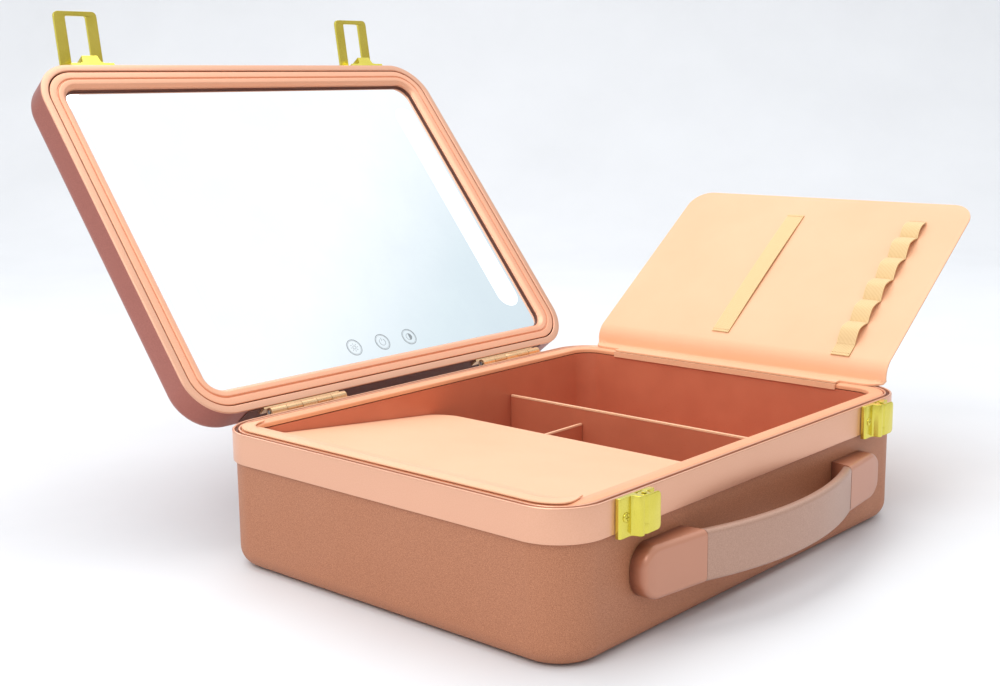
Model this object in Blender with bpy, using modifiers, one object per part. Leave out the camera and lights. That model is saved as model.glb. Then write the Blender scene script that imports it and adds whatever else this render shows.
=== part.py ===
"""Hard-shell vanity case with a lit mirror in its lid, two folding flaps and two side-locking latches.

Frame: origin at the centre of the body's underside, +X to the user's right, -Y to the front
(latches and handle), +Y to the hinges, +Z up.  Metres.  The case is modelled open: the lid, its
loops and the flaps are built where they lie on a closed or open case and hung on turned empties.
"""
import math

import bmesh
import bpy
from mathutils import Matrix, Vector

# ---------------------------------------------------------------- driving dimensions
CASE_W = 0.340            # over the metal rims, left to right
CASE_D = 0.260            # over the metal rims, front to back
CORNER_R = 0.028          # rims' corners, seen from above
BODY_H = 0.080            # underside to the top of the body's rim
BAND_H = 0.0177           # height of the body's metal band
LID_H = 0.024             # lid's rim to its outer face
SEAM = 0.0020             # between the two rims of the closed case
SHELL_INSET = 0.0018      # the moulded shells stand this far inside the bands
BODY_WALL = 0.0024
LID_WALL = 0.0020
SHELL_FILLET = 0.011
GAP = 0.0003              # between touching pieces
LINER_WALL_IN = 0.0146    # rim's outer face to the liner's inner face
HINGE_Y = 0.1352          # lid hinge axis
HINGE_Z = 0.0797
LID_OPEN = 128.4          # degrees
LATCH_X = 0.1215          # latch centres, left and right of the middle
LOOP_PIVOT_OUT = 0.0052   # loop's rod, ahead of the case's front
LOOP_PIVOT_Z = 0.0970     # on the closed case
LOOP_REST = 60.6          # degrees that the loops stand away from hanging
FLAP_HALF = 0.1146        # half the flaps' length, front to back
TAB_HALF = 0.0880         # half the length of a flap's hinge tab
FLAP_AXIS_X = 0.1556
FLAP_AXIS_Z = 0.0809
FLAP_LEAN = 36.0          # open board's slope from level, degrees
LEFT_DIP = 5.6            # closed left board's slope, degrees
LONG_X = 0.072            # long divider
CROSS_Y = 0.052           # cross divider
GLASS_THICK = 0.0020
PANEL_THICK = 0.0010      # board behind the mirror
CORNER_STEPS = 10
ROUND_STEPS = 16

RIM_Z = BODY_H + SEAM     # lid's rim on the closed case
LID_TOP = RIM_Z + LID_H
HALF_W = CASE_W / 2
HALF_D = CASE_D / 2
FRONT_Y = -HALF_D


# ---------------------------------------------------------------- scene, collections, materials
def clear_scene():
    for obj in list(bpy.data.objects):
        bpy.data.objects.remove(obj, do_unlink=True)


def new_collection(name):
    collection = bpy.data.collections.new(name)
    bpy.context.scene.collection.children.link(collection)
    return collection


def material(name, colour, roughness, metallic=0.0):
    mat = bpy.data.materials.new(name)
    mat.use_nodes = True
    shader = mat.node_tree.nodes["Principled BSDF"]
    shader.inputs["Base Color"].default_value = (*colour, 1.0)
    shader.inputs["Roughness"].default_value = roughness
    shader.inputs["Metallic"].default_value = metallic
    return mat


clear_scene()
PARTS = new_collection("vanity_case")
CUTTERS = new_collection("cutters")

SHELL = material("grained_shell", (0.46, 0.22, 0.15), 0.55)
METAL = material("rose_aluminium", (0.83, 0.49, 0.37), 0.35, 0.9)
LINER = material("liner_plastic", (0.62, 0.27, 0.16), 0.30)
LEATHER = material("peach_leatherette", (0.95, 0.66, 0.44), 0.60)
GRIP = material("satin_grip", (0.52, 0.34, 0.26), 0.45)
CAP = material("cap_plastic", (0.60, 0.30, 0.21), 0.40)
GOLD = material("gold_plating", (0.78, 0.72, 0.16), 0.22, 1.0)
STEEL = material("steel", (0.60, 0.60, 0.60), 0.35, 1.0)
GLASS = material("mirror", (0.92, 0.95, 0.97), 0.03, 1.0)
ELASTIC = material("beige_elastic", (0.80, 0.62, 0.38), 0.80)
BOARD = material("circuit_board", (0.05, 0.22, 0.08), 0.50)
BLACK = material("black_plastic", (0.04, 0.04, 0.04), 0.50)
PANEL = material("grey_board", (0.35, 0.33, 0.32), 0.70)


# ---------------------------------------------------------------- shape tools
def add_object(name, mesh, mat):
    obj = bpy.data.objects.new(name, mesh)
    PARTS.objects.link(obj)
    mesh.materials.clear()
    mesh.materials.append(mat)
    mesh.shade_smooth()
    mesh.set_sharp_from_angle(angle=math.radians(35))
    return obj


def ring_points(inset, z):
    """Rounded rectangle of the case's plan, set in from the rim's outer face."""
    radius = max(CORNER_R - inset, 0.001)
    half_w, half_d = HALF_W - inset, HALF_D - inset
    points = []
    for corner in range(4):
        sx, sy = ((1, 1), (-1, 1), (-1, -1), (1, -1))[corner]
        cx, cy = sx * (half_w - radius), sy * (half_d - radius)
        for step in range(CORNER_STEPS + 1):
            angle = math.pi / 2 * (corner + step / CORNER_STEPS)
            points.append(Vector((cx + radius * math.cos(angle), cy + radius * math.sin(angle), z)))
    return points


def swept_ring(name, profile, mat, capped=False):
    """Carries a profile of (inset, z) round the case's plan; a tray also gets its two floors."""
    bm = bmesh.new()
    rings = [[bm.verts.new(p) for p in ring_points(inset, z)] for inset, z in profile]
    pairs = list(zip(rings, rings[1:]))
    if not capped:
        pairs.append((rings[-1], rings[0]))
    count = len(rings[0])
    for lower, upper in pairs:
        for i in range(count):
            j = (i + 1) % count
            bm.faces.new((lower[i], lower[j], upper[j], upper[i]))
    if capped:
        bm.faces.new(rings[0])
        bm.faces.new(rings[-1])
    bmesh.ops.recalc_face_normals(bm, faces=bm.faces)
    mesh = bpy.data.meshes.new(name)
    bm.to_mesh(mesh)
    bm.free()
    return add_object(name, mesh, mat)


def shell_profile(inset, wall, fillet, top, steps=6):
    """Tray standing on z = 0: outer side up to its edge, then the inner side back down."""
    centre = inset + fillet
    outer, inner = [], []
    for step in range(steps + 1):
        angle = math.pi / 2 * step / steps
        out, up = math.sin(angle), math.cos(angle)
        outer.append((centre - fillet * out, fillet - fillet * up))
        inner.append((centre - (fillet - wall) * out, fillet - (fillet - wall) * up))
    return outer + [(inset, top), (inset + wall, top)] + inner[::-1]


AXES = {
    "X": Matrix(((0, 0, 1), (1, 0, 0), (0, 1, 0))),
    "Y": Matrix(((1, 0, 0), (0, 0, -1), (0, 1, 0))),
    "Z": Matrix.Identity(3),
}


def prism(name, outline, start, end, axis, mat, holes=()):
    """Flat outline drawn across an axis and carried from start to end along it."""
    curve = bpy.data.curves.new(name, "CURVE")
    curve.dimensions = "2D"
    curve.fill_mode = "BOTH"
    curve.extrude = abs(end - start) / 2
    for loop in (outline, *holes):
        spline = curve.splines.new("POLY")
        spline.points.add(len(loop) - 1)
        for point, (a, b) in zip(spline.points, loop):
            point.co = (a, b, 0, 1)
        spline.use_cyclic_u = True
    guide = bpy.data.objects.new(name + "_outline", curve)
    PARTS.objects.link(guide)
    bpy.context.view_layer.update()
    evaluated = guide.evaluated_get(bpy.context.evaluated_depsgraph_get())
    mesh = bpy.data.meshes.new_from_object(evaluated)
    bpy.data.objects.remove(guide, do_unlink=True)
    bm = bmesh.new()
    bm.from_mesh(mesh)
    bmesh.ops.remove_doubles(bm, verts=bm.verts, dist=0.00001)
    bmesh.ops.recalc_face_normals(bm, faces=bm.faces)
    bm.to_mesh(mesh)
    bm.free()
    middle = (start + end) / 2
    offset = {"X": (middle, 0, 0), "Y": (0, middle, 0), "Z": (0, 0, middle)}[axis]
    mesh.transform(Matrix.Translation(offset) @ AXES[axis].to_4x4())
    mesh.name = name
    return add_object(name, mesh, mat)


def block(name, low, high, mat):
    """Box from its lowest to its highest corner."""
    bpy.ops.mesh.primitive_cube_add(size=1)
    cube = bpy.context.object
    mesh = cube.data
    bpy.data.objects.remove(cube, do_unlink=True)
    low, high = Vector(low), Vector(high)
    size = high - low
    mesh.transform(Matrix.Translation((low + high) / 2) @ Matrix.Diagonal((*size, 1)))
    mesh.name = name
    return add_object(name, mesh, mat)


def round_bar(name, centre, radius, start, end, axis, mat, sides=ROUND_STEPS):
    """Cylinder along an axis; centre holds the two other coordinates in X, Y, Z order."""
    return prism(name, circle(centre, radius, sides), start, end, axis, mat)


def circle(centre, radius, sides=ROUND_STEPS):
    return [(centre[0] + radius * math.cos(2 * math.pi * i / sides),
             centre[1] + radius * math.sin(2 * math.pi * i / sides)) for i in range(sides)]


def arc(centre, radius, first, last, steps):
    """Points of an arc, angles in degrees."""
    points = []
    for i in range(steps + 1):
        angle = math.radians(first + (last - first) * i / steps)
        points.append((centre[0] + radius * math.cos(angle), centre[1] + radius * math.sin(angle)))
    return points


def rounded_rect(low, high, radius, steps=5):
    (x0, y0), (x1, y1) = low, high
    return (arc((x1 - radius, y1 - radius), radius, 0, 90, steps)
            + arc((x0 + radius, y1 - radius), radius, 90, 180, steps)
            + arc((x0 + radius, y0 + radius), radius, 180, 270, steps)
            + arc((x1 - radius, y0 + radius), radius, 270, 360, steps))


def boolean(obj, tool, operation):
    """Joins or cuts with a tool, which moves to the cutters."""
    if tool.name in PARTS.objects:
        PARTS.objects.unlink(tool)
        CUTTERS.objects.link(tool)
    tool.hide_render = True
    tool.display_type = "WIRE"
    mod = obj.modifiers.new(operation.lower(), "BOOLEAN")
    mod.operation = operation
    mod.object = tool
    mod.solver = "EXACT"


def bevel(obj, width, segments=2, angle=40.0):
    mod = obj.modifiers.new("edges", "BEVEL")
    mod.width = width
    mod.segments = segments
    mod.limit_method = "ANGLE"
    mod.angle_limit = math.radians(angle)


def pivot(name, location, rotation, parent=None, parent_at=(0, 0, 0)):
    """Empty on a joint's axis, turned about it, standing in its parent's own unturned frame."""
    empty = bpy.data.objects.new(name, None)
    PARTS.objects.link(empty)
    empty.location = Vector(location) - Vector(parent_at)
    empty.rotation_euler = rotation
    empty.parent = parent
    return empty


def hang(obj, empty, at):
    """Parents an object built in the unturned frame to the empty that stands at a point."""
    tools = [mod.object for mod in obj.modifiers if mod.type == "BOOLEAN"]
    for piece in (obj, *tools):
        piece.data.transform(Matrix.Translation(-Vector(at)))
        piece.parent = empty


# ---------------------------------------------------------------- body
def make_body():
    shell = swept_ring("body_shell", shell_profile(SHELL_INSET, BODY_WALL, SHELL_FILLET, 0.0767),
                       SHELL, capped=True)
    low = BODY_H - BAND_H
    lip = 0.0015
    band = swept_ring("body_band", [
        (0, low), (0, BODY_H - 0.0006), (0.0006, BODY_H), (0.0017, BODY_H), (0.0017, 0.0782),
        (0.0032, 0.0782), (0.0032, BODY_H), (0.0047, BODY_H), (0.0047, 0.0770),
        (lip, 0.0770), (lip, low)], METAL)
    wall = LINER_WALL_IN
    swept_ring("body_liner", [
        (0.0200, 0.0028), (0.0160, 0.0044), (0.0138, 0.0085), (wall - 0.0014, 0.0765),
        (0.0050, 0.0770), (0.0050, 0.0790), (0.0056, 0.0797), (0.0070, BODY_H), (0.0118, BODY_H),
        (0.0132, 0.0795), (0.0140, 0.0785), (wall, 0.0770), (0.0152, 0.0095), (0.0172, 0.0055),
        (0.0210, 0.0040)], LINER, capped=True)
    return shell, band


def make_dividers():
    half = HALF_D - LINER_WALL_IN - 0.0010
    side = [(half, 0.0590), (half - 0.0001, 0.0098), (half - 0.0022, 0.0060),
            (half - 0.0056, 0.0044)]
    outline = side + [(-y, z) for y, z in reversed(side)]
    prism("long_divider", outline, LONG_X - 0.0008, LONG_X + 0.0008, "X", LINER)
    left = -(HALF_W - LINER_WALL_IN - 0.0010)
    right = LONG_X - 0.0008 - GAP
    outline = [(left, 0.0485), (left + 0.0001, 0.0098), (left + 0.0022, 0.0060),
               (left + 0.0056, 0.0044), (right, 0.0044), (right, 0.0485)]
    prism("cross_divider", outline, CROSS_Y - 0.0007, CROSS_Y + 0.0007, "Y", LINER)


# ---------------------------------------------------------------- handle
CAP_IN, CAP_OUT = 0.0748, 0.1205      # a cap's two ends, from the middle
CAP_NOSE = 0.1150                     # where a cap starts to round off towards the wall
CAP_LOW, CAP_HIGH = 0.0245, 0.0524
SHELL_FRONT = FRONT_Y + SHELL_INSET
GRIP_END_Y = -0.1370                  # grip's inner face at its ends
GRIP_BOW = 0.0130
GRIP_THICK = 0.0056
CAP_DEPTH_IN, CAP_DEPTH_OUT = 0.0145, 0.0094


def make_cap(side, word):
    """Cap that slopes back to the wall at its outer end, with both outer corners rounded."""
    back = SHELL_FRONT - GAP
    outline = [(CAP_IN + 0.0027, back), (CAP_IN, back - CAP_DEPTH_IN)]
    for step in range(7):
        angle = math.pi / 2 * step / 6
        outline.append((CAP_NOSE + (CAP_OUT - CAP_NOSE) * math.sin(angle),
                        back - CAP_DEPTH_OUT * math.cos(angle)))
    cap = prism(f"handle_cap_{word}", [(side * x, y) for x, y in outline],
                CAP_LOW, CAP_HIGH, "Z", CAP)
    radius = 0.0120
    inner, outer = CAP_IN - 0.0050, CAP_OUT + 0.0001
    face = [(inner, CAP_LOW - 0.0010), *arc((outer - radius, CAP_LOW + radius), radius, -90, 0, 6),
            *arc((outer - radius, CAP_HIGH - radius), radius, 0, 90, 6), (inner, CAP_HIGH + 0.0010)]
    corners = prism("cap_corners", [(side * x, z) for x, z in face], back - 0.0200, back + 0.0050,
                    "Y", CAP)
    boolean(cap, corners, "INTERSECT")
    return cap


def make_handle(shell):
    for side, word in ((-1, "left"), (1, "right")):
        cap = make_cap(side, word)
        plate_y = SHELL_FRONT + BODY_WALL + GAP
        low, high = sorted((side * 0.082, side * 0.118))
        holes = [circle((side * x, 0.0385), 0.0018, 10) for x in (0.090, 0.110)]
        prism(f"handle_plate_{word}", rounded_rect((low, 0.0300), (high, 0.0470), 0.003, 3),
              plate_y, plate_y + 0.0012, "Y", STEEL, holes)
        for number, x in enumerate((0.090, 0.110), start=1):
            head = plate_y + 0.0012 + GAP
            screw = round_bar(f"handle_screw_{word}_{number}", (side * x, 0.0385), 0.0014,
                              -0.1340, head + 0.0003, "Y", STEEL, 10)
            boolean(screw, round_bar("screw_head", (side * x, 0.0385), 0.0030,
                                     head, head + 0.0018, "Y", STEEL, 12), "UNION")
            for holed in (shell, cap):
                hole = round_bar("screw_hole", (side * x, 0.0385), 0.0018, -0.1345, -0.1200,
                                 "Y", STEEL, 10)
                boolean(holed, hole, "DIFFERENCE")
        bevel(cap, 0.0012, 2)
    half = CAP_IN - GAP
    radius = (half * half + GRIP_BOW * GRIP_BOW) / (2 * GRIP_BOW)
    centre_y = GRIP_END_Y - GRIP_BOW + radius
    outline = []
    for reach, sign in ((radius, 1), (radius + GRIP_THICK, -1)):
        swing = sign * math.degrees(math.asin(half / reach))
        outline += arc((0, centre_y), reach, -90 - swing, -90 + swing, 14)
    grip = prism("handle_grip", outline, CAP_LOW + 0.0002, CAP_HIGH - 0.0002, "Z", GRIP)
    bevel(grip, 0.0012, 2)


# ---------------------------------------------------------------- latches
HASP_LOW, HASP_HIGH = 0.0601, 0.0799
TAB_LOW, TAB_HIGH = 0.0603, 0.0797
LUG_LOW, LUG_HIGH = 0.0660, 0.0734    # base's knuckle, between the tab's two
LUG_R = 0.0017
TAB_AXIS = (0.0040, 0.0046)           # pin: right of the latch's centre, ahead of the case
TAB_FRONT = 0.0078                    # front face of the folded tab, ahead of the case
TAB_THICK = 0.0012
TAB_REACH = 0.0137
PIN_R, PIN_BORE = 0.0008, 0.0010
HASP_SCREW = (-0.0080, 0.0702)


def ahead(points, centre_x):
    """Outline points given as (right of the centre, ahead of the case)."""
    return [(centre_x + x, FRONT_Y - out) for x, out in points]


def make_hasp(side, word, shell, band):
    centre = side * LATCH_X
    outline = [(-0.0128, GAP), (-0.0128, 0.0026), (-0.0040, 0.0026), (-0.0026, 0.0072),
               (-0.0020, TAB_FRONT), (0.0005, TAB_FRONT), (0.0005, 0.0011), (0.0076, 0.0011), (0.0076, 0.0038),
               (0.0140, 0.0038), (0.0140, GAP)]
    base = prism(f"hasp_base_{word}", ahead(outline, centre), HASP_LOW, HASP_HIGH, "Z", GOLD)
    pin = ahead([TAB_AXIS], centre)[0]
    boolean(base, round_bar("pin_lug", pin, LUG_R, LUG_LOW, LUG_HIGH, "Z", GOLD), "UNION")
    web = block("lug_web", (pin[0] - 0.0015, pin[1], LUG_LOW + 0.0001),
                (pin[0] + 0.0015, FRONT_Y - 0.0006, LUG_HIGH - 0.0001), GOLD)
    boolean(base, web, "UNION")
    boolean(base, round_bar("pin_bore", pin, PIN_BORE, LUG_LOW - 0.0010, LUG_HIGH + 0.0010, "Z",
                            GOLD, 12), "DIFFERENCE")
    hasp_pin = round_bar(f"hasp_pin_{word}", pin, PIN_R, TAB_LOW - 0.0002, TAB_HIGH + 0.0006, "Z",
                         GOLD, 12)
    boolean(hasp_pin, round_bar("pin_head", pin, 0.0015, TAB_HIGH + GAP, TAB_HIGH + 0.0009, "Z",
                                GOLD, 12), "UNION")
    x, z = centre + HASP_SCREW[0], HASP_SCREW[1]
    screw = round_bar(f"hasp_screw_{word}", (x, z), 0.0012, FRONT_Y - 0.0032, FRONT_Y + 0.0070,
                      "Y", GOLD, 10)
    boolean(screw, round_bar("screw_head", (x, z), 0.0021, FRONT_Y - 0.0037, FRONT_Y - 0.0029,
                             "Y", GOLD, 12), "UNION")
    for holed in (base, band, shell):
        hole = round_bar("screw_hole", (x, z), 0.0015, FRONT_Y - 0.0060, FRONT_Y + 0.0090,
                         "Y", GOLD, 10)
        boolean(holed, hole, "DIFFERENCE")


def make_hasp_tab(side, word):
    """Full-height tab on two knuckles, with room between them for the base's knuckle."""
    centre = side * LATCH_X
    pin = ahead([TAB_AXIS], centre)[0]
    plate_back = TAB_FRONT - TAB_THICK
    tab = prism(f"hasp_tab_{word}", circle(pin, TAB_FRONT - TAB_AXIS[1], 20), TAB_LOW, TAB_HIGH,
                "Z", GOLD)
    plate = [(TAB_AXIS[0], TAB_FRONT), (TAB_REACH - 0.0005, TAB_FRONT),
             (TAB_REACH, TAB_FRONT - 0.0005), (TAB_REACH, plate_back), (TAB_AXIS[0], plate_back)]
    low, high = TAB_LOW + 0.00005, TAB_HIGH - 0.00005
    boolean(tab, prism("tab_plate", ahead(plate, centre), low, high, "Z", GOLD), "UNION")
    boolean(tab, round_bar("tab_bore", pin, PIN_BORE, TAB_LOW - 0.001, TAB_HIGH + 0.001, "Z",
                           GOLD, 12), "DIFFERENCE")
    room = block("knuckle_room", (centre - 0.0010, FRONT_Y - plate_back, LUG_LOW - GAP),
                 (centre + 0.0090, FRONT_Y, LUG_HIGH + GAP), GOLD)
    boolean(tab, room, "DIFFERENCE")
    at = (pin[0], pin[1], 0)
    hang(tab, pivot(f"tab_pivot_{word}", at, (0, 0, 0)), at)


# ---------------------------------------------------------------- lid hinges
HINGE_LENGTH = 0.060
HINGE_X = 0.094
KNUCKLES = 5
BARREL_R = 0.0028


def leaf(name, centre_x, plate_low, plate_high, web, owned):
    """Hinge leaf on the back of a rim: a plate, and a barrel on a web for each knuckle it owns."""
    start = centre_x - HINGE_LENGTH / 2
    pitch = HINGE_LENGTH / KNUCKLES
    back = HALF_D + GAP
    plate = block(name, (start, back, plate_low), (start + HINGE_LENGTH, back + 0.0012, plate_high),
                  METAL)
    for index in owned:
        low, high = start + pitch * index + GAP / 2, start + pitch * (index + 1) - GAP / 2
        boolean(plate, prism("knuckle_web", web, low + 0.0001, high - 0.0001, "X", METAL), "UNION")
        boolean(plate, round_bar("knuckle", (HINGE_Y, HINGE_Z), BARREL_R, low, high, "X", METAL),
                "UNION")
    boolean(plate, round_bar("hinge_bore", (HINGE_Y, HINGE_Z), 0.0015, start - 0.01,
                             start + HINGE_LENGTH + 0.01, "X", METAL, 12), "DIFFERENCE")
    return plate


def make_hinge(side, word):
    inner = HALF_D + GAP + 0.0006
    low_web = [(inner, 0.0752), (HINGE_Y, HINGE_Z - 0.0024), (HINGE_Y, HINGE_Z + 0.0004),
               (inner, 0.0794)]
    leaf(f"hinge_body_leaf_{word}", side * HINGE_X, 0.0655, 0.0797, low_web, (0, 2, 4))
    high_web = [(inner, 0.0826), (HINGE_Y, HINGE_Z - 0.0004), (HINGE_Y, HINGE_Z + 0.0024),
                (inner, 0.0860)]
    lid_leaf = leaf(f"hinge_lid_leaf_{word}", side * HINGE_X, 0.0824, 0.0888, high_web, (1, 3))
    half = HINGE_LENGTH / 2 + 0.0005
    round_bar(f"hinge_pin_{word}", (HINGE_Y, HINGE_Z), 0.0012, side * HINGE_X - half,
              side * HINGE_X + half, "X", STEEL, 12)
    return lid_leaf


# ---------------------------------------------------------------- lid
MIRROR_Z = RIM_Z + 0.0058
BUTTON_X = -0.0014
BUTTON_Y = 0.1007


def make_lid_case():
    rise = shell_profile(SHELL_INSET, LID_WALL, 0.010, LID_H - 0.0022)
    shell = swept_ring("lid_shell", [(inset, LID_TOP - z) for inset, z in rise], SHELL, capped=True)
    frame = swept_ring("lid_frame", [
        (0, RIM_Z + 0.0005), (0, RIM_Z + 0.0070), (0.0015, RIM_Z + 0.0070),
        (0.0015, RIM_Z + 0.0018), (0.0052, RIM_Z + 0.0018), (0.0052, RIM_Z + 0.0003),
        (0.0048, RIM_Z), (0.0005, RIM_Z)], METAL)
    bezel = swept_ring("lid_bezel", [
        (0.0057, 0.0836), (0.0063, 0.0826), (0.0075, 0.0823), (0.0112, 0.0823), (0.0130, 0.0829),
        (0.0148, 0.0842), (0.0156, 0.0851), (0.0158, 0.0875), (0.0142, 0.0875), (0.0139, 0.0860),
        (0.0120, 0.0846), (0.0108, 0.0839), (0.0075, 0.0839), (0.0072, 0.0848), (0.0057, 0.0848)],
        LEATHER)
    return shell, frame, bezel


def make_lid_inside():
    glass_x, glass_y = HALF_W - 0.0120, HALF_D - 0.0120
    glass = prism("mirror_glass", rounded_rect((-glass_x, -glass_y), (glass_x, glass_y), 0.015, 6),
                  MIRROR_Z, MIRROR_Z + GLASS_THICK, "Z", GLASS)
    behind = MIRROR_Z + GLASS_THICK + GAP
    strips = [block(f"led_strip_{word}", (side * 0.141 - 0.005, -0.095, behind),
                    (side * 0.141 + 0.005, 0.095, behind + 0.0010), BOARD)
              for side, word in ((-1, "left"), (1, "right"))]
    touch = block("touch_board", (BUTTON_X - 0.040, BUTTON_Y - 0.009, behind),
                  (BUTTON_X + 0.040, BUTTON_Y + 0.009, behind + 0.0010), BOARD)
    tray = behind + 0.0010 + GAP
    edge = rounded_rect((-glass_x, -glass_y), (glass_x, glass_y), 0.015, 4)
    backing = prism("mirror_backing", edge, tray, tray + PANEL_THICK, "Z", PANEL)
    floor = tray + PANEL_THICK + GAP
    battery = block("battery", (-0.035, -0.030, floor), (0.035, 0.015, floor + 0.0060), BLACK)
    control = block("control_board", (0.060, 0.030, floor), (0.110, 0.065, floor + 0.0016), BOARD)
    return [glass, *strips, touch, backing, battery, control]


PORT_Y, PORT_Z = 0.085, 0.0985


def make_charging_port(lid_shell):
    x = HALF_W - SHELL_INSET
    port = block("charging_port", (x - 0.0080, PORT_Y - 0.0045, PORT_Z - 0.0016),
                 (x - 0.0002, PORT_Y + 0.0045, PORT_Z + 0.0016), STEEL)
    socket = block("socket", (x - 0.0070, PORT_Y - 0.0039, PORT_Z - 0.0010),
                   (x + 0.0010, PORT_Y + 0.0039, PORT_Z + 0.0010), STEEL)
    boolean(port, socket, "DIFFERENCE")
    window = block("port_window", (x - 0.0090, PORT_Y - 0.0048, PORT_Z - 0.0019),
                   (x + 0.0010, PORT_Y + 0.0048, PORT_Z + 0.0019), STEEL)
    boolean(lid_shell, window, "DIFFERENCE")
    return port


# ---------------------------------------------------------------- latch loops and their brackets
BRACKET_LOW, BRACKET_HIGH = 0.0834, 0.1012
LOOP_HALF = 0.01585
WINDOW_HALF = 0.0078
LOOP_REACH = 0.0402                   # rod's axis to the loop's far edge
LOOP_BAR = 0.0030
LOOP_THICK = 0.0019
HILL_LOW, HILL_HIGH = 0.0842, 0.0955  # bracket's raised middle
SLEEVE_HALF, SLEEVE_R = 0.0073, 0.0034
BRACKET_SCREW_X, BRACKET_SCREW_Z = 0.0138, 0.0903


def make_bracket(side, word, lid_shell):
    """Plate with a raised middle, and a sleeve above it that the loop's rod turns in."""
    centre = side * LATCH_X
    base = block(f"loop_bracket_{word}", (centre - 0.0160, FRONT_Y - 0.0026, BRACKET_LOW),
                 (centre + 0.0160, FRONT_Y - GAP, BRACKET_HIGH), GOLD)
    hill = [(-0.0098, 0.0010), (-0.0098, 0.0027), (-0.0062, 0.0041), (-0.0050, 0.0093),
            (0.0066, 0.0093), (0.0074, 0.0041), (0.0115, 0.0027), (0.0115, 0.0010)]
    boolean(base, prism("bracket_hill", ahead(hill, centre), HILL_LOW, HILL_HIGH, "Z", GOLD), "UNION")
    rod = (FRONT_Y - LOOP_PIVOT_OUT, LOOP_PIVOT_Z)
    boolean(base, round_bar("rod_sleeve", rod, SLEEVE_R, centre - SLEEVE_HALF, centre + SLEEVE_HALF,
                            "X", GOLD, 20), "UNION")
    web = block("sleeve_web", (centre - SLEEVE_HALF + 0.0001, rod[0], LOOP_PIVOT_Z - 0.0031),
                (centre + SLEEVE_HALF - 0.0001, FRONT_Y - 0.0010, LOOP_PIVOT_Z + 0.0031), GOLD)
    boolean(base, web, "UNION")
    boolean(base, round_bar("rod_bore", rod, 0.0018, centre - 0.020, centre + 0.020, "X", GOLD, 14),
            "DIFFERENCE")
    screws = []
    spots = (centre - BRACKET_SCREW_X, centre + BRACKET_SCREW_X)
    for number, x in enumerate(spots, start=1):
        screw = round_bar(f"bracket_screw_{word}_{number}", (x, BRACKET_SCREW_Z), 0.0011,
                          FRONT_Y - 0.0032, FRONT_Y + 0.0062, "Y", GOLD, 10)
        head = round_bar("screw_head", (x, BRACKET_SCREW_Z), 0.0019, FRONT_Y - 0.0037,
                         FRONT_Y - 0.0029, "Y", GOLD, 12)
        boolean(screw, head, "UNION")
        screws.append(screw)
        for holed in (base, lid_shell):
            hole = round_bar("screw_hole", (x, BRACKET_SCREW_Z), 0.0014, FRONT_Y - 0.0050,
                             FRONT_Y + 0.0080, "Y", GOLD, 10)
            boolean(holed, hole, "DIFFERENCE")
    return [base, *screws]


def make_loop(side, word, lid_pivot, lid_at):
    """Flat rectangular loop, hanging as when latched; its own empty then swings it out."""
    centre = side * LATCH_X
    low = LOOP_PIVOT_Z - LOOP_REACH
    outer = rounded_rect((centre - LOOP_HALF, low), (centre + LOOP_HALF, LOOP_PIVOT_Z), 0.0032, 4)
    inner = rounded_rect((centre - WINDOW_HALF, low + LOOP_BAR),
                         (centre + WINDOW_HALF, LOOP_PIVOT_Z + 0.0200), 0.0012, 2)
    middle = FRONT_Y - LOOP_PIVOT_OUT
    loop = prism(f"latch_loop_{word}", outer, middle - LOOP_THICK / 2, middle + LOOP_THICK / 2, "Y",
                 GOLD)
    window = prism("loop_window", inner, middle - 0.004, middle + 0.004, "Y", GOLD)
    boolean(loop, window, "DIFFERENCE")
    rod = round_bar("loop_rod", (middle, LOOP_PIVOT_Z), 0.0015, centre - LOOP_HALF + 0.0001,
                    centre + LOOP_HALF - 0.0001, "X", GOLD, 12)
    boolean(loop, rod, "UNION")
    at = (centre, middle, LOOP_PIVOT_Z)
    swung = (math.radians(-LOOP_REST), 0, 0)
    hang(loop, pivot(f"loop_pivot_{word}", at, swung, lid_pivot, lid_at), at)


# ---------------------------------------------------------------- flaps
FLAP_DROP_X = 0.0150                  # axis to the upright part's inner face, flap open
PLATE_TOP = 0.0912
SHOULDER_X = 0.1610                   # hinge piece is full length outside this
BOARD_START, RIGHT_END, LEFT_END = 0.0206, 0.1780, 0.1640
BOARD_THICK = 0.0024
FOLD_X, FOLD_Z = 0.1711, 0.0916       # fold between hinge piece and board, flap open
LEAN_FOOT = (0.1550, 0.0800)          # open board's upper face runs through this point


def make_flap_hinge(side, word):
    """Soft hinge of a flap: a tab lying over the rim and a low upright that carries the board."""
    inner = FLAP_AXIS_X + FLAP_DROP_X
    wing = FLAP_HALF - 0.0090
    foot = FLAP_AXIS_Z - 0.0007
    half = [(FLAP_HALF, PLATE_TOP), *arc((wing, foot + 0.0090), 0.0090, 0, -90, 4)]
    outline = half + [(-y, z) for y, z in reversed(half)]
    low, high = sorted((side * inner, side * (inner + 0.0010)))
    piece = prism(f"{word}_flap_hinge", outline, low, high, "X", LEATHER)
    low, high = sorted((side * (FLAP_AXIS_X - 0.0004), side * (inner + 0.0005)))
    tab = block("hinge_tab", (low, -TAB_HALF + 0.0002, FLAP_AXIS_Z - 0.0005),
                (high, TAB_HALF - 0.0002, FLAP_AXIS_Z + 0.0005), LEATHER)
    boolean(piece, tab, "UNION")
    low, high = sorted((side * SHOULDER_X, side * (inner + 0.0004)))
    shoulder = block("hinge_shoulder", (low, -wing, FLAP_AXIS_Z - 0.0004),
                     (high, wing, FLAP_AXIS_Z + 0.0004), LEATHER)
    boolean(piece, shoulder, "UNION")
    return piece


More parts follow.
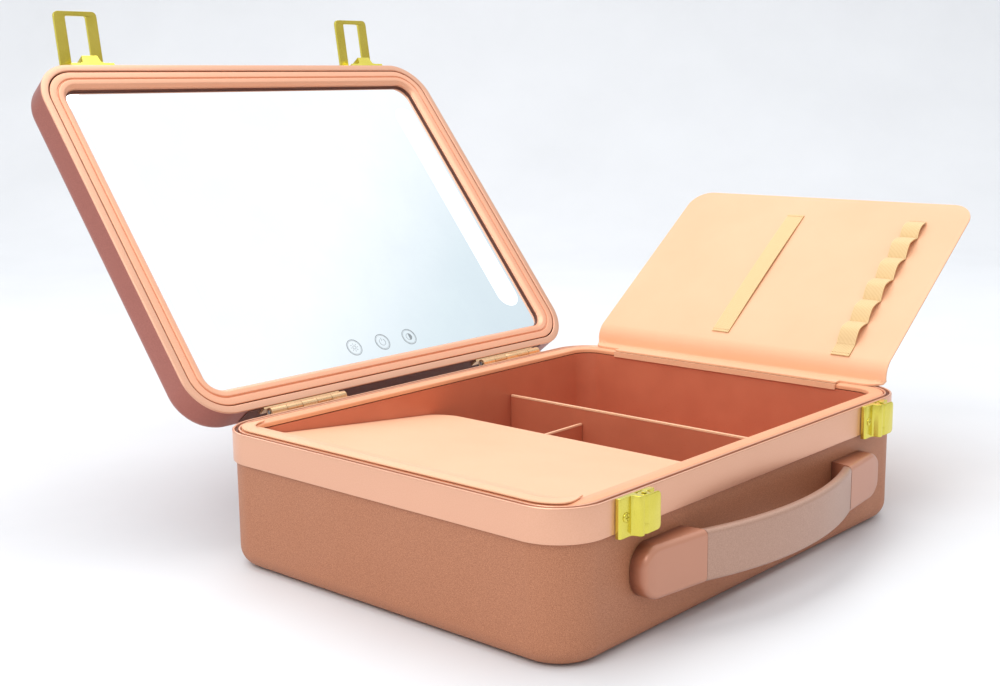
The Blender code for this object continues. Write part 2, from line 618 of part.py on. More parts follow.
def lean_matrix(side):
    """Board's own frame: x up the slope, y along the case, z out of its upper face."""
    lean = math.radians(FLAP_LEAN)
    up = Vector((side * math.cos(lean), 0, math.sin(lean)))
    normal = Vector((-side * math.sin(lean), 0, math.cos(lean)))
    along = normal.cross(up)
    foot = Vector((side * LEAN_FOOT[0], 0, LEAN_FOOT[1]))
    return Matrix.Translation(foot) @ Matrix((up, along, normal)).transposed().to_4x4()


def make_board(side, word, end):
    start = BOARD_START
    half = FLAP_HALF - 0.0002
    outline = [(start, -half), *arc((end - 0.016, -half + 0.016), 0.016, -90, 0, 5),
               *arc((end - 0.016, half - 0.016), 0.016, 0, 90, 5), (start, half)]
    board = prism(f"{word}_flap", outline, -BOARD_THICK, 0, "Z", LEATHER)
    board.data.transform(lean_matrix(side))
    return board


STRAP = (0.0320, 0.1570, 0.0155)      # start, end up the slope, and centre along the case
LOOPED = (0.0245, 0.1580, -0.0800)
ELASTIC_HALF = 0.0070
LOOP_COUNT = 7


def make_elastics():
    start, end, centre = STRAP
    strap = block("flat_elastic", (start, centre - ELASTIC_HALF, GAP),
                  (end, centre + ELASTIC_HALF, GAP + 0.0012), ELASTIC)
    start, end, centre = LOOPED
    upper, lower = [], []
    steps = 6 * LOOP_COUNT
    for i in range(steps + 1):
        rise = abs(math.sin(math.pi * LOOP_COUNT * i / steps))
        s = start + (end - start) * i / steps
        upper.append((s, GAP + 0.0012 + 0.0048 * rise))
        lower.append((s, GAP + 0.0045 * rise * rise))
    outline = upper + lower[::-1]
    looped = prism("loop_elastic", outline, centre - ELASTIC_HALF, centre + ELASTIC_HALF, "Y",
                   ELASTIC)
    for piece in (strap, looped):
        piece.data.transform(lean_matrix(1))
    return [strap, looped]


def place_flap(side, word, hinge, carried, closed, dip):
    """Hangs the open flap on its two empties and folds it in when it is a closed one."""
    at = (side * FLAP_AXIS_X, 0, FLAP_AXIS_Z)
    fold_at = (side * FOLD_X, 0, FOLD_Z)
    turn = math.radians(-180 * side) if closed else 0
    fold = math.radians((FLAP_LEAN - dip) * side) if closed else 0
    hinge_pivot = pivot(f"{word}_flap_pivot", at, (0, turn, 0))
    fold_pivot = pivot(f"{word}_fold_pivot", fold_at, (0, fold, 0), hinge_pivot, at)
    hang(hinge, hinge_pivot, at)
    for piece in carried:
        hang(piece, fold_pivot, fold_at)


def make_flaps():
    for side, word in ((-1, "left"), (1, "right")):
        low, high = sorted((side * 0.1541, side * 0.1550))
        block(f"flap_anchor_{word}", (low, -TAB_HALF, 0.0765), (high, TAB_HALF, 0.0801), LEATHER)
    place_flap(1, "right", make_flap_hinge(1, "right"),
               [make_board(1, "right", RIGHT_END), *make_elastics()], False, 0.0)
    place_flap(-1, "left", make_flap_hinge(-1, "left"),
               [make_board(-1, "left", LEFT_END)], True, LEFT_DIP)


# ---------------------------------------------------------------- assembly
def main():
    shell, band = make_body()
    make_dividers()
    make_handle(shell)
    make_flaps()
    lid_at = (0, HINGE_Y, HINGE_Z)
    lid_pivot = pivot("lid_pivot", lid_at, (math.radians(-LID_OPEN), 0, 0))
    lid_shell, frame, bezel = make_lid_case()
    lid_pieces = [lid_shell, frame, bezel, *make_lid_inside(), make_charging_port(lid_shell)]
    for side, word in ((-1, "left"), (1, "right")):
        make_hasp(side, word, shell, band)
        make_hasp_tab(side, word)
        lid_pieces.append(make_hinge(side, word))
        lid_pieces += make_bracket(side, word, lid_shell)
        make_loop(side, word, lid_pivot, lid_at)
    for piece in lid_pieces:
        hang(piece, lid_pivot, lid_at)


main()
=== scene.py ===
"""Looks for the hard-shell vanity case: rose metal rims, grained shells, leatherette flaps, lit mirror.

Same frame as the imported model: metres, +Z up, -Y to the front.  Lid, loop and flap pieces are shaped
on the closed lid or the level board and then carried to where the resting model has them.
"""
import math

import bmesh
import bpy
from mathutils import Matrix, Vector


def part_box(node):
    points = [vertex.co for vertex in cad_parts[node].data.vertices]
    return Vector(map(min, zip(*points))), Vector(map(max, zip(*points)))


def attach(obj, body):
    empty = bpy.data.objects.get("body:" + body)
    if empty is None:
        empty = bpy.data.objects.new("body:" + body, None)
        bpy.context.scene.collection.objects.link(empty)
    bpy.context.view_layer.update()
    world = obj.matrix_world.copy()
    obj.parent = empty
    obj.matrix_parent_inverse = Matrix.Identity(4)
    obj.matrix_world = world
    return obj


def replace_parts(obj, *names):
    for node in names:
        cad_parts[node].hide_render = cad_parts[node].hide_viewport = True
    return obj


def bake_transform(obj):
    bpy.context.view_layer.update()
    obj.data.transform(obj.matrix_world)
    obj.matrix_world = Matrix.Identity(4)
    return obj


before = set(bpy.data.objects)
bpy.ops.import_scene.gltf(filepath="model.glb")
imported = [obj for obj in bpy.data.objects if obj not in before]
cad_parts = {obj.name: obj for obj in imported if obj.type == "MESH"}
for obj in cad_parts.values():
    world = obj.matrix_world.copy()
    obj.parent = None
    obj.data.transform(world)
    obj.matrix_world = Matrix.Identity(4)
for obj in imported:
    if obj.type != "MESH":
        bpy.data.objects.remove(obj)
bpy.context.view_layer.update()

# ---------------------------------------------------------------- dimensions, as the part has them
HALF_W = 0.170
HALF_D = 0.130
CORNER_R = 0.028
BODY_H = 0.080
BAND_LOW = 0.0623
RIM_Z = 0.082
LID_TOP = 0.106
HINGE = Vector((0, 0.1352, 0.0797))
LID_OPEN = 128.4
LATCH_X = 0.1215
LEAN = 36.0
LEAN_FOOT = (0.1550, 0.0800)
MIRROR_Z = RIM_Z + 0.0058
CORNER_STEPS = 20


# ---------------------------------------------------------------- places
def turn_about(point, degrees):
    """Turns about the X axis through a point."""
    move = Matrix.Translation(point)
    return move @ Matrix.Rotation(math.radians(degrees), 4, "X") @ move.inverted()


LID = turn_about(HINGE, -LID_OPEN)


def board_matrix(side):
    """Open board's own frame: x up the slope, y along the case, z out of its upper face."""
    lean = math.radians(LEAN)
    up = Vector((side * math.cos(lean), 0, math.sin(lean)))
    normal = Vector((-side * math.sin(lean), 0, math.cos(lean)))
    foot = Vector((side * LEAN_FOOT[0], 0, LEAN_FOOT[1]))
    return Matrix.Translation(foot) @ Matrix((up, normal.cross(up), normal)).transposed().to_4x4()


# ---------------------------------------------------------------- materials
def linear(red, green, blue):
    """Screen colour, 0 to 255, as the shader's linear values."""
    values = [c / 255 for c in (red, green, blue)]
    return tuple(v / 12.92 if v <= 0.04045 else ((v + 0.055) / 1.055) ** 2.4 for v in values)


class Nodes:
    """Small helper round one material's node tree."""

    def __init__(self, name):
        self.material = bpy.data.materials.new(name)
        self.material.use_nodes = True
        self.tree = self.material.node_tree
        self.shader = self.tree.nodes["Principled BSDF"]
        self.place = self.add("ShaderNodeTexCoord").outputs["Object"]

    def add(self, kind, **settings):
        node = self.tree.nodes.new(kind)
        for key, value in settings.items():
            setattr(node, key, value)
        return node

    def link(self, source, target):
        self.tree.links.new(source, target)

    def stretched(self, scale):
        mapping = self.add("ShaderNodeMapping")
        mapping.inputs["Scale"].default_value = scale
        self.link(self.place, mapping.inputs["Vector"])
        return mapping.outputs["Vector"]

    def noise(self, scale, detail=3.0, roughness=0.55, place=None):
        node = self.add("ShaderNodeTexNoise")
        node.inputs["Scale"].default_value = scale
        node.inputs["Detail"].default_value = detail
        node.inputs["Roughness"].default_value = roughness
        self.link(place or self.place, node.inputs["Vector"])
        return node.outputs["Fac"]

    def cells(self, scale):
        node = self.add("ShaderNodeTexVoronoi", feature="DISTANCE_TO_EDGE")
        node.inputs["Scale"].default_value = scale
        self.link(self.place, node.inputs["Vector"])
        return node.outputs["Distance"]

    def ramp(self, value, stops, interpolation="LINEAR"):
        node = self.add("ShaderNodeValToRGB")
        node.color_ramp.interpolation = interpolation
        elements = node.color_ramp.elements
        while len(elements) < len(stops):
            elements.new(0.5)
        for element, (position, colour) in zip(elements, stops):
            element.position = position
            element.color = (*colour, 1.0)
        self.link(value, node.inputs["Fac"])
        return node.outputs["Color"]

    def spread(self, value, low, high, start=0.3, end=0.7):
        node = self.add("ShaderNodeMapRange")
        node.inputs["From Min"].default_value = start
        node.inputs["From Max"].default_value = end
        node.inputs["To Min"].default_value = low
        node.inputs["To Max"].default_value = high
        self.link(value, node.inputs["Value"])
        return node.outputs["Result"]

    def bump(self, value, depth, strength=1.0, under=None):
        node = self.add("ShaderNodeBump")
        node.inputs["Distance"].default_value = depth
        node.inputs["Strength"].default_value = strength
        self.link(value, node.inputs["Height"])
        if under is not None:
            self.link(under, node.inputs["Normal"])
        return node.outputs["Normal"]

    def set(self, **values):
        for key, value in values.items():
            self.shader.inputs[key.replace("_", " ")].default_value = value


def tinted(nodes, value, dark, light, start=0.35, end=0.65):
    """Colour that drifts between two tones with a noise."""
    colour = nodes.ramp(value, [(start, linear(*dark)), (end, linear(*light))])
    nodes.link(colour, nodes.shader.inputs["Base Color"])


def grained_plastic(name, dark, light, roughness, depth=0.00006):
    """Moulded shell: fine sand grain with a faint fleck, broad drift of gloss."""
    nodes = Nodes(name)
    fine = nodes.noise(2600, 4.0, 0.7)
    broad = nodes.noise(22, 2.0)
    tinted(nodes, fine, dark, light)
    nodes.link(nodes.spread(broad, roughness - 0.05, roughness + 0.05),
               nodes.shader.inputs["Roughness"])
    nodes.link(nodes.bump(fine, depth, 0.8), nodes.shader.inputs["Normal"])
    nodes.set(Metallic=0.10, Specular_IOR_Level=0.45)
    return nodes.material


def satin_metal(name, dark, light, roughness, metallic=0.55, depth=0.00001):
    """Anodised band: very fine beading and slow change of gloss."""
    nodes = Nodes(name)
    fine = nodes.noise(1700, 2.0, 0.5)
    broad = nodes.noise(30, 1.0)
    tinted(nodes, fine, dark, light)
    nodes.link(nodes.spread(broad, roughness - 0.02, roughness + 0.02),
               nodes.shader.inputs["Roughness"])
    nodes.link(nodes.bump(fine, depth, 0.3), nodes.shader.inputs["Normal"])
    nodes.set(Metallic=metallic)
    return nodes.material


def gloss_plastic(name, dark, light, roughness, depth=0.00004):
    """Vacuum-formed liner: smooth with the slow waviness of thin sheet and fine scuffs."""
    nodes = Nodes(name)
    wave = nodes.noise(38, 2.0)
    scuff = nodes.noise(1500, 5.0, 0.7, nodes.stretched((1.0, 0.25, 1.0)))
    tinted(nodes, wave, dark, light)
    nodes.link(nodes.spread(scuff, roughness - 0.06, roughness + 0.10),
               nodes.shader.inputs["Roughness"])
    under = nodes.bump(wave, depth * 2, 0.4)
    nodes.link(nodes.bump(scuff, depth, 0.35, under), nodes.shader.inputs["Normal"])
    nodes.set(Coat_Weight=0.25, Coat_Roughness=0.22)
    return nodes.material


def leatherette(name, dark, light, roughness=0.52):
    """Fine pebbled grain over a soft drift of tone."""
    nodes = Nodes(name)
    pebble = nodes.cells(950)
    fine = nodes.noise(1900, 3.0, 0.6)
    broad = nodes.noise(16, 3.0)
    tinted(nodes, broad, dark, light, 0.3, 0.7)
    nodes.link(nodes.spread(fine, roughness - 0.06, roughness + 0.08),
               nodes.shader.inputs["Roughness"])
    under = nodes.bump(nodes.spread(pebble, 0.0, 1.0, 0.0, 0.12), 0.00003, 0.7)
    nodes.link(nodes.bump(fine, 0.00002, 0.5, under), nodes.shader.inputs["Normal"])
    nodes.set(Sheen_Weight=0.12, Sheen_Roughness=0.5)
    return nodes.material


def plated(name, dark, light, roughness, metallic=1.0):
    """Bright plating over a stamping: faint draw marks, deeper tone in patches."""
    nodes = Nodes(name)
    marks = nodes.noise(700, 4.0, 0.6, nodes.stretched((1.0, 1.0, 0.12)))
    broad = nodes.noise(60, 2.0)
    tinted(nodes, broad, dark, light)
    nodes.link(nodes.spread(marks, roughness - 0.02, roughness + 0.03),
               nodes.shader.inputs["Roughness"])
    nodes.link(nodes.bump(marks, 0.00001, 0.08), nodes.shader.inputs["Normal"])
    nodes.set(Metallic=metallic)
    return nodes.material


def woven(name, dark, light, ribs=330.0, picks=620.0):
    """Knitted elastic: ribs along it and faint picks across it, from the strip's own UV in metres."""
    nodes = Nodes(name)
    place = nodes.add("ShaderNodeUVMap", uv_map="metres").outputs["UV"]
    heights = []
    for direction, scale in (("X", ribs), ("Y", picks)):
        wave = nodes.add("ShaderNodeTexWave", bands_direction=direction)
        wave.inputs["Scale"].default_value = scale
        wave.inputs["Distortion"].default_value = 0.4
        wave.inputs["Detail"].default_value = 1.0
        nodes.link(place, wave.inputs["Vector"])
        heights.append(wave.outputs["Fac"])
    faint = nodes.add("ShaderNodeMath", operation="MULTIPLY_ADD")
    faint.inputs[1].default_value = 0.35
    nodes.link(heights[1], faint.inputs[0])
    nodes.link(heights[0], faint.inputs[2])
    fuzz = nodes.noise(2400, 3.0)
    tinted(nodes, faint.outputs[0], dark, light, 0.10, 1.10)
    nodes.link(nodes.spread(fuzz, 0.72, 0.9), nodes.shader.inputs["Roughness"])
    nodes.link(nodes.bump(faint.outputs[0], 0.00012, 0.6), nodes.shader.inputs["Normal"])
    nodes.set(Sheen_Weight=0.25, Sheen_Roughness=0.4)
    return nodes.material


def silvered_mirror(name):
    """Front of the mirror, with the faintest uneven polish."""
    nodes = Nodes(name)
    smear = nodes.noise(26, 4.0, 0.6)
    tinted(nodes, smear, (243, 247, 250), (246, 250, 252))
    nodes.link(nodes.spread(smear, 0.020, 0.028), nodes.shader.inputs["Roughness"])
    nodes.set(Metallic=1.0)
    return nodes.material


def frosted(name):
    """Etched window in front of the lamps, lit softly from behind."""
    nodes = Nodes(name)
    etch = nodes.noise(2200, 3.0)
    tinted(nodes, etch, (240, 246, 250), (252, 254, 255))
    nodes.link(nodes.spread(etch, 0.42, 0.55), nodes.shader.inputs["Roughness"])
    nodes.link(nodes.bump(etch, 0.00001, 0.4), nodes.shader.inputs["Normal"])
    nodes.set(Emission_Color=(*linear(246, 250, 255), 1.0), Emission_Strength=0.62)
    return nodes.material


def cap_with_painted_shade(name):
    """Satin handle end: fine tooth, and painted shade that darkens the colour towards the wall it stands
    on.
    """
    nodes = Nodes(name)
    fine = nodes.noise(3800, 3.0, 0.6)
    split = nodes.add("ShaderNodeSeparateXYZ")
    nodes.link(nodes.place, split.inputs[0])
    # painted shade: the colour runs dark where the cap meets the wall and light towards its front face
    depth = nodes.spread(split.outputs["Y"], 1.0, 0.0, -0.1390, -0.1300)
    grain_and_shade = nodes.add("ShaderNodeMath", operation="MULTIPLY_ADD")
    grain_and_shade.inputs[1].default_value = 0.10
    nodes.link(fine, grain_and_shade.inputs[0])
    nodes.link(depth, grain_and_shade.inputs[2])
    stops = [(0.0, linear(122, 72, 54)), (0.50, linear(168, 106, 79)), (1.0, linear(198, 139, 113))]
    nodes.link(nodes.ramp(grain_and_shade.outputs[0], stops), nodes.shader.inputs["Base Color"])
    nodes.link(nodes.spread(fine, 0.28, 0.36), nodes.shader.inputs["Roughness"])
    nodes.link(nodes.bump(fine, 0.00002, 0.6), nodes.shader.inputs["Normal"])
    nodes.set(Metallic=0.20)
    return nodes.material


def plain_stock(name, dark, light, roughness, metallic=0.0):
    """Hidden boards, steel and printed marks: mottled, with a little tooth."""
    nodes = Nodes(name)
    mottle = nodes.noise(420, 4.0, 0.6)
    tinted(nodes, mottle, dark, light)
    nodes.link(nodes.spread(mottle, roughness - 0.08, roughness + 0.08),
               nodes.shader.inputs["Roughness"])
    nodes.link(nodes.bump(mottle, 0.00003, 0.4), nodes.shader.inputs["Normal"])
    nodes.set(Metallic=metallic)
    return nodes.material


SHELL = grained_plastic("body_grain", (158, 98, 68), (200, 137, 102), 0.52, 0.00011)
LID_SKIN = satin_metal("lid_skin", (158, 90, 78), (172, 102, 88), 0.36, 0.35, 0.00002)
BAND = satin_metal("rose_band", (228, 173, 143), (232, 178, 149), 0.32, 0.62, 0.000002)
# dark brown painted shade, laid in the rim's groove, at the mirror's edge and across the gap between the
# lid's hinges
SHADE_FILL = plain_stock("painted_shade_fill", (96, 52, 38), (110, 62, 46), 0.60)
# liner and dividers: the peach lining darkened and reddened with painted shade of the inside of the box
LINER_SHADED = gloss_plastic("liner_gloss_painted_shade", (200, 112, 82), (206, 118, 87), 0.32)
PEACH = leatherette("peach_flap", (240, 184, 143), (245, 190, 150))
BEAD = leatherette("peach_bead", (230, 160, 116), (238, 168, 124), 0.45)
BEZEL = satin_metal("bezel_satin", (238, 176, 142), (243, 182, 148), 0.38, 0.35, 0.00002)
GRIP = satin_metal("grip_satin", (178, 140, 122), (190, 152, 133), 0.36, 0.30, 0.00003)
CAP = cap_with_painted_shade("cap_satin_painted_shade")
GOLD = plated("lime_gold", (220, 206, 86), (228, 214, 98), 0.22, 0.85)
HINGE_GOLD = plated("peach_gold", (234, 190, 144), (240, 198, 152), 0.28)
ELASTIC = woven("elastic_knit", (206, 170, 116), (242, 212, 160))
THREAD = plain_stock("stitch_thread", (206, 168, 120), (226, 190, 142), 0.75)
MIRROR = silvered_mirror("silvered")
FROST = frosted("etched_window")
PRINT = plain_stock("grey_print", (136, 148, 155), (150, 162, 168), 0.50)
STEEL = plain_stock("steel_stock", (150, 150, 152), (172, 172, 174), 0.36, 1.0)
BOARD = plain_stock("green_board", (30, 84, 44), (42, 104, 58), 0.45)
BLACK = plain_stock("black_case", (26, 26, 28), (38, 38, 40), 0.55)
PANEL = plain_stock("grey_panel", (120, 116, 112), (142, 138, 134), 0.75)


# ---------------------------------------------------------------- shape tools
def arc(centre, radius, first, last, steps):
    """Points of an arc, angles in degrees."""
    points = []
    for i in range(steps + 1):
        angle = math.radians(first + (last - first) * i / steps)
        points.append((centre[0] + radius * math.cos(angle), centre[1] + radius * math.sin(angle)))
    return points


def filleted(corners, closed=True, steps=5):
    """Outline through corners given as (a, b, radius), each rounded by its own radius."""
    result = []
    count = len(corners)
    for i, (a, b, radius) in enumerate(corners):
        here = Vector((a, b))
        if radius == 0 or (not closed and i in (0, count - 1)):
            result.append((a, b))
            continue
        back = (Vector(corners[i - 1][:2]) - here).normalized()
        ahead = (Vector(corners[(i + 1) % count][:2]) - here).normalized()
        half = back.angle(ahead) / 2
        reach = radius / math.tan(half)
        centre = here + (back + ahead).normalized() * (radius / math.sin(half))
        start, end = here + back * reach - centre, here + ahead * reach - centre
        swing = start.angle_signed(end)
        for step in range(steps + 1):
            spoke = start.copy()
            spoke.rotate(Matrix.Rotation(-swing * step / steps, 2))
            result.append(tuple(centre + spoke))
    return result


def finish_mesh(name, bm, mat, sharp=40):
    bmesh.ops.recalc_face_normals(bm, faces=bm.faces)
    mesh = bpy.data.meshes.new(name)
    bm.to_mesh(mesh)
    bm.free()
    return add_object(name, mesh, mat, sharp)


def add_object(name, mesh, mat, sharp=40):
    obj = bpy.data.objects.new(name, mesh)
    bpy.context.scene.collection.objects.link(obj)
    mesh.materials.clear()
    mesh.materials.append(mat)
    mesh.shade_smooth()
    mesh.set_sharp_from_angle(angle=math.radians(sharp))
    return obj


def ring_points(inset, z):
    """Rounded rectangle of the case's plan, set in from the rim's outer face."""
    radius = max(CORNER_R - inset, 0.001)
    half_w, half_d = HALF_W - inset, HALF_D - inset
    points = []
    for corner, (sx, sy) in enumerate(((1, 1), (-1, 1), (-1, -1), (1, -1))):
        cx, cy = sx * (half_w - radius), sy * (half_d - radius)
        for step in range(CORNER_STEPS + 1):
            angle = math.pi / 2 * (corner + step / CORNER_STEPS)
            points.append(Vector((cx + radius * math.cos(angle), cy + radius * math.sin(angle), z)))
    return points


def swept_ring(name, profile, mat, capped=False, sharp=40):
    """Carries a profile of (inset, z) round the case's plan."""
    bm = bmesh.new()
    rings = [[bm.verts.new(p) for p in ring_points(inset, z)] for inset, z in profile]
    pairs = list(zip(rings, rings[1:]))
    if not capped:
        pairs.append((rings[-1], rings[0]))
    count = len(rings[0])
    for lower, upper in pairs:
        for i in range(count):
            j = (i + 1) % count
            bm.faces.new((lower[i], lower[j], upper[j], upper[i]))
    if capped:
        bm.faces.new(rings[0])
        bm.faces.new(rings[-1])
    return finish_mesh(name, bm, mat, sharp)


AXES = {
    "X": Matrix(((0, 0, 1), (1, 0, 0), (0, 1, 0))),
    "Y": Matrix(((1, 0, 0), (0, 0, -1), (0, 1, 0))),
    "Z": Matrix.Identity(3),
}


def prism(name, outline, start, end, axis, mat, holes=(), bevel=0.0):
    """Flat outline drawn across an axis and carried along it, its edges rounded by a curve bevel."""
    curve = bpy.data.curves.new(name, "CURVE")
    curve.dimensions = "2D"
    curve.fill_mode = "BOTH"
    curve.extrude = abs(end - start) / 2 - bevel
    curve.bevel_depth = bevel
    curve.bevel_resolution = 2
    curve.offset = -bevel
    for loop in (outline, *holes):
        spline = curve.splines.new("POLY")
        spline.points.add(len(loop) - 1)
        for point, (a, b) in zip(spline.points, loop):
            point.co = (a, b, 0, 1)
        spline.use_cyclic_u = True
    guide = bpy.data.objects.new(name + "_outline", curve)
    bpy.context.scene.collection.objects.link(guide)
    bpy.context.view_layer.update()
    evaluated = guide.evaluated_get(bpy.context.evaluated_depsgraph_get())
    mesh = bpy.data.meshes.new_from_object(evaluated)
    bpy.data.objects.remove(guide, do_unlink=True)
    bm = bmesh.new()
    bm.from_mesh(mesh)
    bpy.data.meshes.remove(mesh)
    bmesh.ops.remove_doubles(bm, verts=bm.verts, dist=0.000002)
    middle = (start + end) / 2
    offset = {"X": (middle, 0, 0), "Y": (0, middle, 0), "Z": (0, 0, middle)}[axis]
    bm.transform(Matrix.Translation(offset) @ AXES[axis].to_4x4())
    return finish_mesh(name, bm, mat)


def circle(centre, radius, sides=32):
    return arc(centre, radius, 0, 360 * (sides - 1) / sides, sides - 1)


def applied(obj):
    """Writes an object's modifiers into its mesh."""
    bpy.context.view_layer.update()
    evaluated = obj.evaluated_get(bpy.context.evaluated_depsgraph_get())
    mesh = bpy.data.meshes.new_from_object(evaluated)
    obj.modifiers.clear()
    obj.data = mesh
    return obj


def carried(obj, matrix):
    obj.data.transform(matrix)
    return obj


def bevelled(obj, width, segments=2, angle=35.0):
    mod = obj.modifiers.new("edges", "BEVEL")
    mod.width = width
    mod.segments = segments
    mod.limit_method = "ANGLE"
    mod.angle_limit = math.radians(angle)
    mod.harden_normals = True
    return obj


def boolean(obj, tool, operation="DIFFERENCE"):
    mod = obj.modifiers.new("cut", "BOOLEAN")
    mod.operation = operation
    mod.object = tool
    mod.solver = "EXACT"
    applied(obj)
    bpy.data.objects.remove(tool, do_unlink=True)
    return obj


def joined(objs, name):
    """Several meshes as one piece, each with the material of the first."""
    bm = bmesh.new()
    for obj in objs:
        bm.from_mesh(obj.data)
    mat = objs[0].data.materials[0]
    for obj in objs:
        bpy.data.objects.remove(obj, do_unlink=True)
    return finish_mesh(name, bm, mat)


def sheet_grid(name, rows, mat, thickness):
    """Rows of points as one sheet, given its thickness below; rows may be shorter than the first."""
    bm = bmesh.new()
    grid = [[bm.verts.new(p) if p is not None else None for p in row] for row in rows]
    for low, high in zip(grid, grid[1:]):
        for i in range(len(low) - 1):
            corners = (low[i], low[i + 1], high[i + 1], high[i])
            if None not in corners:
                bm.faces.new(corners).normal_update()
    bm.faces.ensure_lookup_table()
    if bm.faces[0].normal.z < 0:
        bmesh.ops.reverse_faces(bm, faces=bm.faces)
    mesh = bpy.data.meshes.new(name)
    bm.to_mesh(mesh)
    bm.free()
    obj = add_object(name, mesh, mat)
    solid = obj.modifiers.new("thickness", "SOLIDIFY")
    solid.thickness = thickness
    solid.offset = -1.0
    return obj


# ---------------------------------------------------------------- body
def tray_profile(inset, wall, fillet, top, lip):
    """Tray standing on z = 0: outer side up to its edge, then the inner side back down."""
    outer = [(inset + fillet - fillet * math.sin(a), fillet - fillet * math.cos(a))
             for a in (math.pi / 2 * i / 10 for i in range(11))]
    bend = fillet - wall
    inner = [(inset + fillet - bend * math.sin(a), fillet - bend * math.cos(a))
             for a in (math.pi / 2 * i / 8 for i in range(8, -1, -1))]
    edge = [(inset, top - lip), (inset + lip, top), (inset + wall, top)]
    return outer + edge + inner


def make_body():
    shell = swept_ring("body_skin", tray_profile(0.0018, 0.0020, 0.011, 0.0767, 0.0003), SHELL,
                       capped=True)
    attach(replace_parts(shell, "body_shell"), "body")
    top, groove = BODY_H, 0.0779
    band = swept_ring("body_rim", filleted([
        (0.0, BAND_LOW, 0.0003), (0.0, top, 0.0006), (0.0014, top, 0.0004), (0.0014, groove, 0.0001),
        (0.0034, groove, 0.0001), (0.0034, top, 0.0004), (0.0047, top, 0.0005),
        (0.0047, 0.0770, 0.0001), (0.0015, 0.0770, 0.0001), (0.0015, BAND_LOW, 0.0003)]), BAND)
    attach(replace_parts(band, "body_band"), "body")
    bead = swept_ring("body_bead", filleted([
        (0.0051, 0.0771, 0.0001), (0.0051, 0.0797, 0.0009), (0.0095, 0.0803, 0.0100),
        (0.0141, 0.0796, 0.0010), (0.0143, 0.0771, 0.0002)]), BEAD)
    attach(bead, "body")
    # dark fill of painted shade at the bottom of the rim's groove
    groove_shade = swept_ring("painted_shade_fill", filleted([
        (0.0015, groove + 0.0001, 0.0001), (0.0015, groove + 0.0008, 0.0003),
        (0.0033, groove + 0.0008, 0.0003), (0.0033, groove + 0.0001, 0.0001)]), SHADE_FILL)
    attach(groove_shade, "body")
    liner = swept_ring("liner_skin", [
        (0.0190, 0.0026), (0.0152, 0.0050), (0.0138, 0.0095), (0.0133, 0.0766),
        (0.0146, 0.0766), (0.0148, 0.0500), (0.0151, 0.0110), (0.0153, 0.0090), (0.0160, 0.0068),
        (0.0174, 0.0050), (0.0194, 0.0041), (0.0220, 0.0039)], LINER_SHADED, capped=True)
    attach(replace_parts(liner, "body_liner"), "body")


def make_divider_trims():
    """Folded leatherette along the dividers' top edges."""
    for node, along in (("long_divider", 1), ("cross_divider", 0)):
        low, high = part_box(node)
        across = 1 - along
        centre = (low[across] + high[across]) / 2
        half = (high[across] - low[across]) / 2 + 0.0002
        top = high.z
        foot = top - 0.0010
        outline = filleted([(centre - half, foot, 0), (centre - half, top + 0.0003, 0.0004),
                            (centre + half, top + 0.0003, 0.0004), (centre + half, foot, 0),
                            (centre + half - 0.0001, foot, 0), (centre + half - 0.0001, top + 0.0001, 0),
                            (centre - half + 0.0001, top + 0.0001, 0), (centre - half + 0.0001, foot, 0)])
        axis = "XY"[along]
        trim = prism(f"{node}_trim", outline, low[along] + 0.0004, high[along] - 0.0004, axis, PEACH)
        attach(trim, "body")


CAP_IN, CAP_OUT, CAP_LOW, CAP_HIGH = 0.0748, 0.1205, 0.0245, 0.0524
CAP_NOSE, CAP_ROUND, CAP_SLANT = 0.1170, 0.0125, 0.0027
CAP_DEEP, CAP_SHALLOW = 0.0145, 0.0094   # how far a cap stands off the wall, inner and outer end
WALL_Y = -0.1282 - 0.0003
GRIP_END, GRIP_BOW, GRIP_THICK = -0.1370, 0.0130, 0.0056


def cap_section(x):
    """Cap's cross-section as (ahead of the wall, height), narrowing towards its outer end."""
    taper = (min(x, CAP_NOSE) - CAP_IN) / (CAP_NOSE - CAP_IN)
    over = max(0.0, (x - CAP_NOSE) / (CAP_OUT - CAP_NOSE))
    reach = CAP_DEEP + (CAP_SHALLOW - CAP_DEEP) * taper
    depth = max(reach * max(1 - over ** 2.6, 0.0) ** 0.40, 0.0004)
    past = max(0.0, x - (CAP_OUT - CAP_ROUND))
    draw = CAP_ROUND - math.sqrt(CAP_ROUND * CAP_ROUND - past * past)
    low, high, ease = CAP_LOW + draw, CAP_HIGH - draw, min(0.0032, 0.42 * depth)
    return depth, filleted([(0.0, low, 0), (depth, low, ease), (depth, high, ease), (0.0, high, 0)],
                           steps=6)


def swept_sections(name, sections, mat):
    """Skin through cross-sections of equal count, closed at both ends."""
    bm = bmesh.new()
    rows = [[bm.verts.new(p) for p in section] for section in sections]
    for a, b in zip(rows, rows[1:]):
        for j in range(len(a)):
            k = (j + 1) % len(a)
            bm.faces.new((a[j], a[k], b[k], b[j]))
    bm.faces.new(rows[0])
    bm.faces.new(rows[-1])
    return finish_mesh(name, bm, mat)


